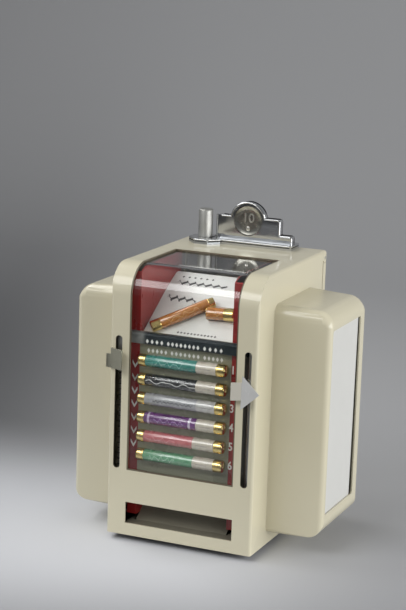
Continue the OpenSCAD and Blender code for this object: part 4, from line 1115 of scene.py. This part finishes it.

# coil springs with closed end turns
followerCoil = {"axis": 0, "wire": 1.6, "turns": 3.5, "endTurns": 0.7, "travel": 12.0}
springLooks = {
    "return_spring": {"axis": 2, "wire": 0.9, "turns": 28, "endTurns": 1.0, "travel": 92.0,
                      "joint": "operate_slide", "anchorHigh": False},
    "left_follower_spring": {**followerCoil, "joint": "left_follower_slide", "anchorHigh": True},
    "right_follower_spring": {**followerCoil, "joint": "right_follower_slide", "anchorHigh": False},
}
stepsPerTurn = 24


def coilPath(low, high, look):
    axis, wire, turns, ends = (look[key] for key in ("axis", "wire", "turns", "endTurns"))
    across, around = (i for i in range(3) if i != axis)
    middle = (low + high) / 2
    r = (high[across] - low[across] - wire) / 2
    start, end, endRise = low[axis] + wire / 2, high[axis] - wire / 2, ends * wire / 2
    path, steps = [], int(stepsPerTurn * turns)
    for i in range(steps + 1):
        t = turns * i / steps
        point = Vector((0, 0, 0))
        if t < ends:
            point[axis] = start + endRise * t / ends
        elif t > turns - ends:
            point[axis] = end - endRise * (turns - t) / ends
        else:
            point[axis] = start + endRise + (end - start - 2 * endRise) * (t - ends) / (turns - 2 * ends)
        point[across] = middle[across] + r * math.cos(2 * math.pi * t)
        point[around] = middle[around] + r * math.sin(2 * math.pi * t)
        path.append(point)
    return path


def addSpring(node, look):
    low, high = boxOf(node)
    shape = bmesh.new()
    addBar(shape, coilPath(low, high, look), look["wire"] / 2, 8)
    piece = standIn(node + "Coil", meshFrom(shape, node + "Coil", 50), node, "oiledWire")
    along = look["axis"]
    way, anchor = [0.0, 0.0, 0.0], list((low + high) / 2 * mm)
    way[along] = 1.0
    anchor[along] = (high[along] if look["anchorHigh"] else low[along]) * mm
    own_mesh(piece)


for node, look in springLooks.items():
    addSpring(node, look)
print("springs wound")

# pieces that keep their CAD shape and get a finish
plainFinish = {
    "panelEnamel": ["display_panel"],
    "slateHeader": ["header_bar"],
    "blackEnamel": ["base_plate", "rod_brackets"],
    "trayEnamel": ["delivery_tray"],
    "zincSteel": ["hinge_pins", "lock_plug", "lock_cam", "door_catch", "wing_screws", "head_screws",
                  "left_follower", "right_follower", "coin_chute", "cash_box", "magazine_shelves",
                  "operate_carriage", "select_carriage", "guide_rods", "detent_rail", "detent_spring",
                  *("gate_%d" % row for row in tubeWraps)],
    "clearPane": ["window_pane"],
    "gasketRubber": ["window_gasket"],
    "footRubber": ["feet"],
    "whiteCard": ["display_card"],
    "stockWrap": ["stock_tubes"],
}
for surface, nodes in plainFinish.items():
    for node in nodes:
        mesh = frame["nodes"][node].data
        mesh.materials.clear()
        mesh.materials.append(surfaces[surface])
print("CAD pieces finished")

# sweep behind the machine with painted light: a painted pool of light round the object, painted shade to the
# right of it, on the left behind it and towards the viewer, and grey towards the rear
sweepLook = {"front": -2.6, "rear": 2.2, "radius": 1.0, "bendSteps": 16, "top": 3.0, "half": 3.2,
             "rough": 0.7, "paintedPool": (0.61, 0.62, 0.645), "edge": (0.42, 0.425, 0.44),
             "middle": (-0.05, -0.05, 0), "reach": (0.1, 0.38),
             "shade": (0.43, 0.435, 0.45), "paintedShadeFade": (-0.02, 0.2),
             "left": (0.08, 0.082, 0.085), "leftFar": (0.395, 0.397, 0.405), "leftShadeFade": (0.4, 2.2),
             "right": (0.395, 0.398, 0.405), "rightFade": (-0.34, 0.12), "rearFade": (-0.02, 0.25),
             "paintedNearShade": (0.035, 0.035, 0.037), "nearShadeFade": (0.06, 0.56), "viewTurn": (0.92, 0.39)}


def sweepMesh(look):
    rear, radius, steps = look["rear"], look["radius"], look["bendSteps"]
    line = [(look["front"], 0.0), (rear - radius, 0.0)]
    for i in range(1, steps + 1):
        turn = math.radians(90 * i / steps)
        line.append((rear - radius + radius * math.sin(turn), radius - radius * math.cos(turn)))
    line.append((rear, look["top"]))
    points = [(x, y, z) for y, z in line for x in (-look["half"], look["half"])]
    faces = [(2 * i, 2 * i + 1, 2 * i + 3, 2 * i + 2) for i in range(len(line) - 1)]
    mesh = bpy.data.meshes.new("studioSweep")
    mesh.from_pydata(points, [], faces)
    smoothByAngle(mesh, 40)
    return mesh


def sweepSurface(look):
    material, tree, shader = newSurface("sweepPaper")
    x, y, z = objectAxes(tree)
    where = addNode(tree, "ShaderNodeTexCoord")
    reach = addNode(tree, "ShaderNodeVectorMath", {"operation": "DISTANCE"})
    tree.links.new(where.outputs["Object"], reach.inputs[0])
    reach.inputs[1].default_value = look["middle"]
    c, s = look["viewTurn"]
    across = mathNode(tree, "ADD", mathNode(tree, "MULTIPLY", x, c), mathNode(tree, "MULTIPLY", y, s))
    toward = mathNode(tree, "SUBTRACT", mathNode(tree, "MULTIPLY", x, s), mathNode(tree, "MULTIPLY", y, c))

    def blend(value, span, a, b):
        return mixColours(tree, fadeNode(tree, value, look[span]), a, b)

    # painted pool of light on the floor round the object, and painted shade to the right of it
    paintedPool = blend(reach.outputs["Value"], "reach", rgb(look["paintedPool"]), rgb(look["edge"]))
    paintedPool = blend(across, "paintedShadeFade", paintedPool, rgb(look["shade"]))
    # painted shade on the left behind the machine, fading out towards the far wall
    left = blend(y, "leftShadeFade", rgb(look["left"]), rgb(look["leftFar"]))
    behind = blend(across, "rightFade", left, rgb(look["right"]))
    # painted shade towards the viewer
    paper = blend(toward, "nearShadeFade", blend(y, "rearFade", paintedPool, behind), rgb(look["paintedNearShade"]))
    tree.links.new(paper, shader.inputs["Base Color"])
    setEvenly(shader, {"Roughness": look["rough"]})
    side = addNode(tree, "ShaderNodeNewGeometry")
    mixToClear(tree, shader, side.outputs["Backfacing"])  # a rear view looks past the sweep
    return material


def addSweep(look):
    sweep = bpy.data.objects.new("studioSweep", sweepMesh(look))
    scene.collection.objects.link(sweep)
    sweep.data.materials.append(sweepSurface(look))


addSweep(sweepLook)

# soft studio light
lamps = {
    "leftBank": {"place": (-1.3, 0, 1.55), "aim": (-0.1, 0, 0.2), "size": (1.4, 0.95), "power": 18.5},
    "mainBank": {"place": (-0.62, -1.16, 1.245), "aim": (0, -0.07, 0.26), "size": (1.3, 0.66), "power": 10.6},
    "haloBank": {"place": (-0.68, -1.42, 1.14), "aim": (0, -0.07, 0.26), "size": (1.7, 1.0), "power": 2.4},
    "rightBank": {"place": (1.6, -0.12, 0.5), "aim": (0, 0, 0.15), "size": (2.6, 1.0), "power": 30},
}
airLook = {"Color": (0.75, 0.76, 0.78, 1), "Strength": 0.28}


def addLamp(name, look):
    data = bpy.data.lights.new(name, "AREA")
    data.shape, data.energy = "RECTANGLE", look["power"]
    data.size, data.size_y = look["size"]
    light = bpy.data.objects.new(name, data)
    scene.collection.objects.link(light)
    light.location = look["place"]
    light.rotation_mode = "QUATERNION"
    light.rotation_quaternion = (Vector(look["aim"]) - Vector(look["place"])).to_track_quat("-Z", "Y")


for name, look in lamps.items():
    addLamp(name, look)
world = bpy.data.worlds.new("studioAir")
world.use_nodes = True
setEvenly(world.node_tree.nodes["Background"], airLook)
scene.world = world
scene.view_settings.view_transform = "Standard"
print("stage and light set")
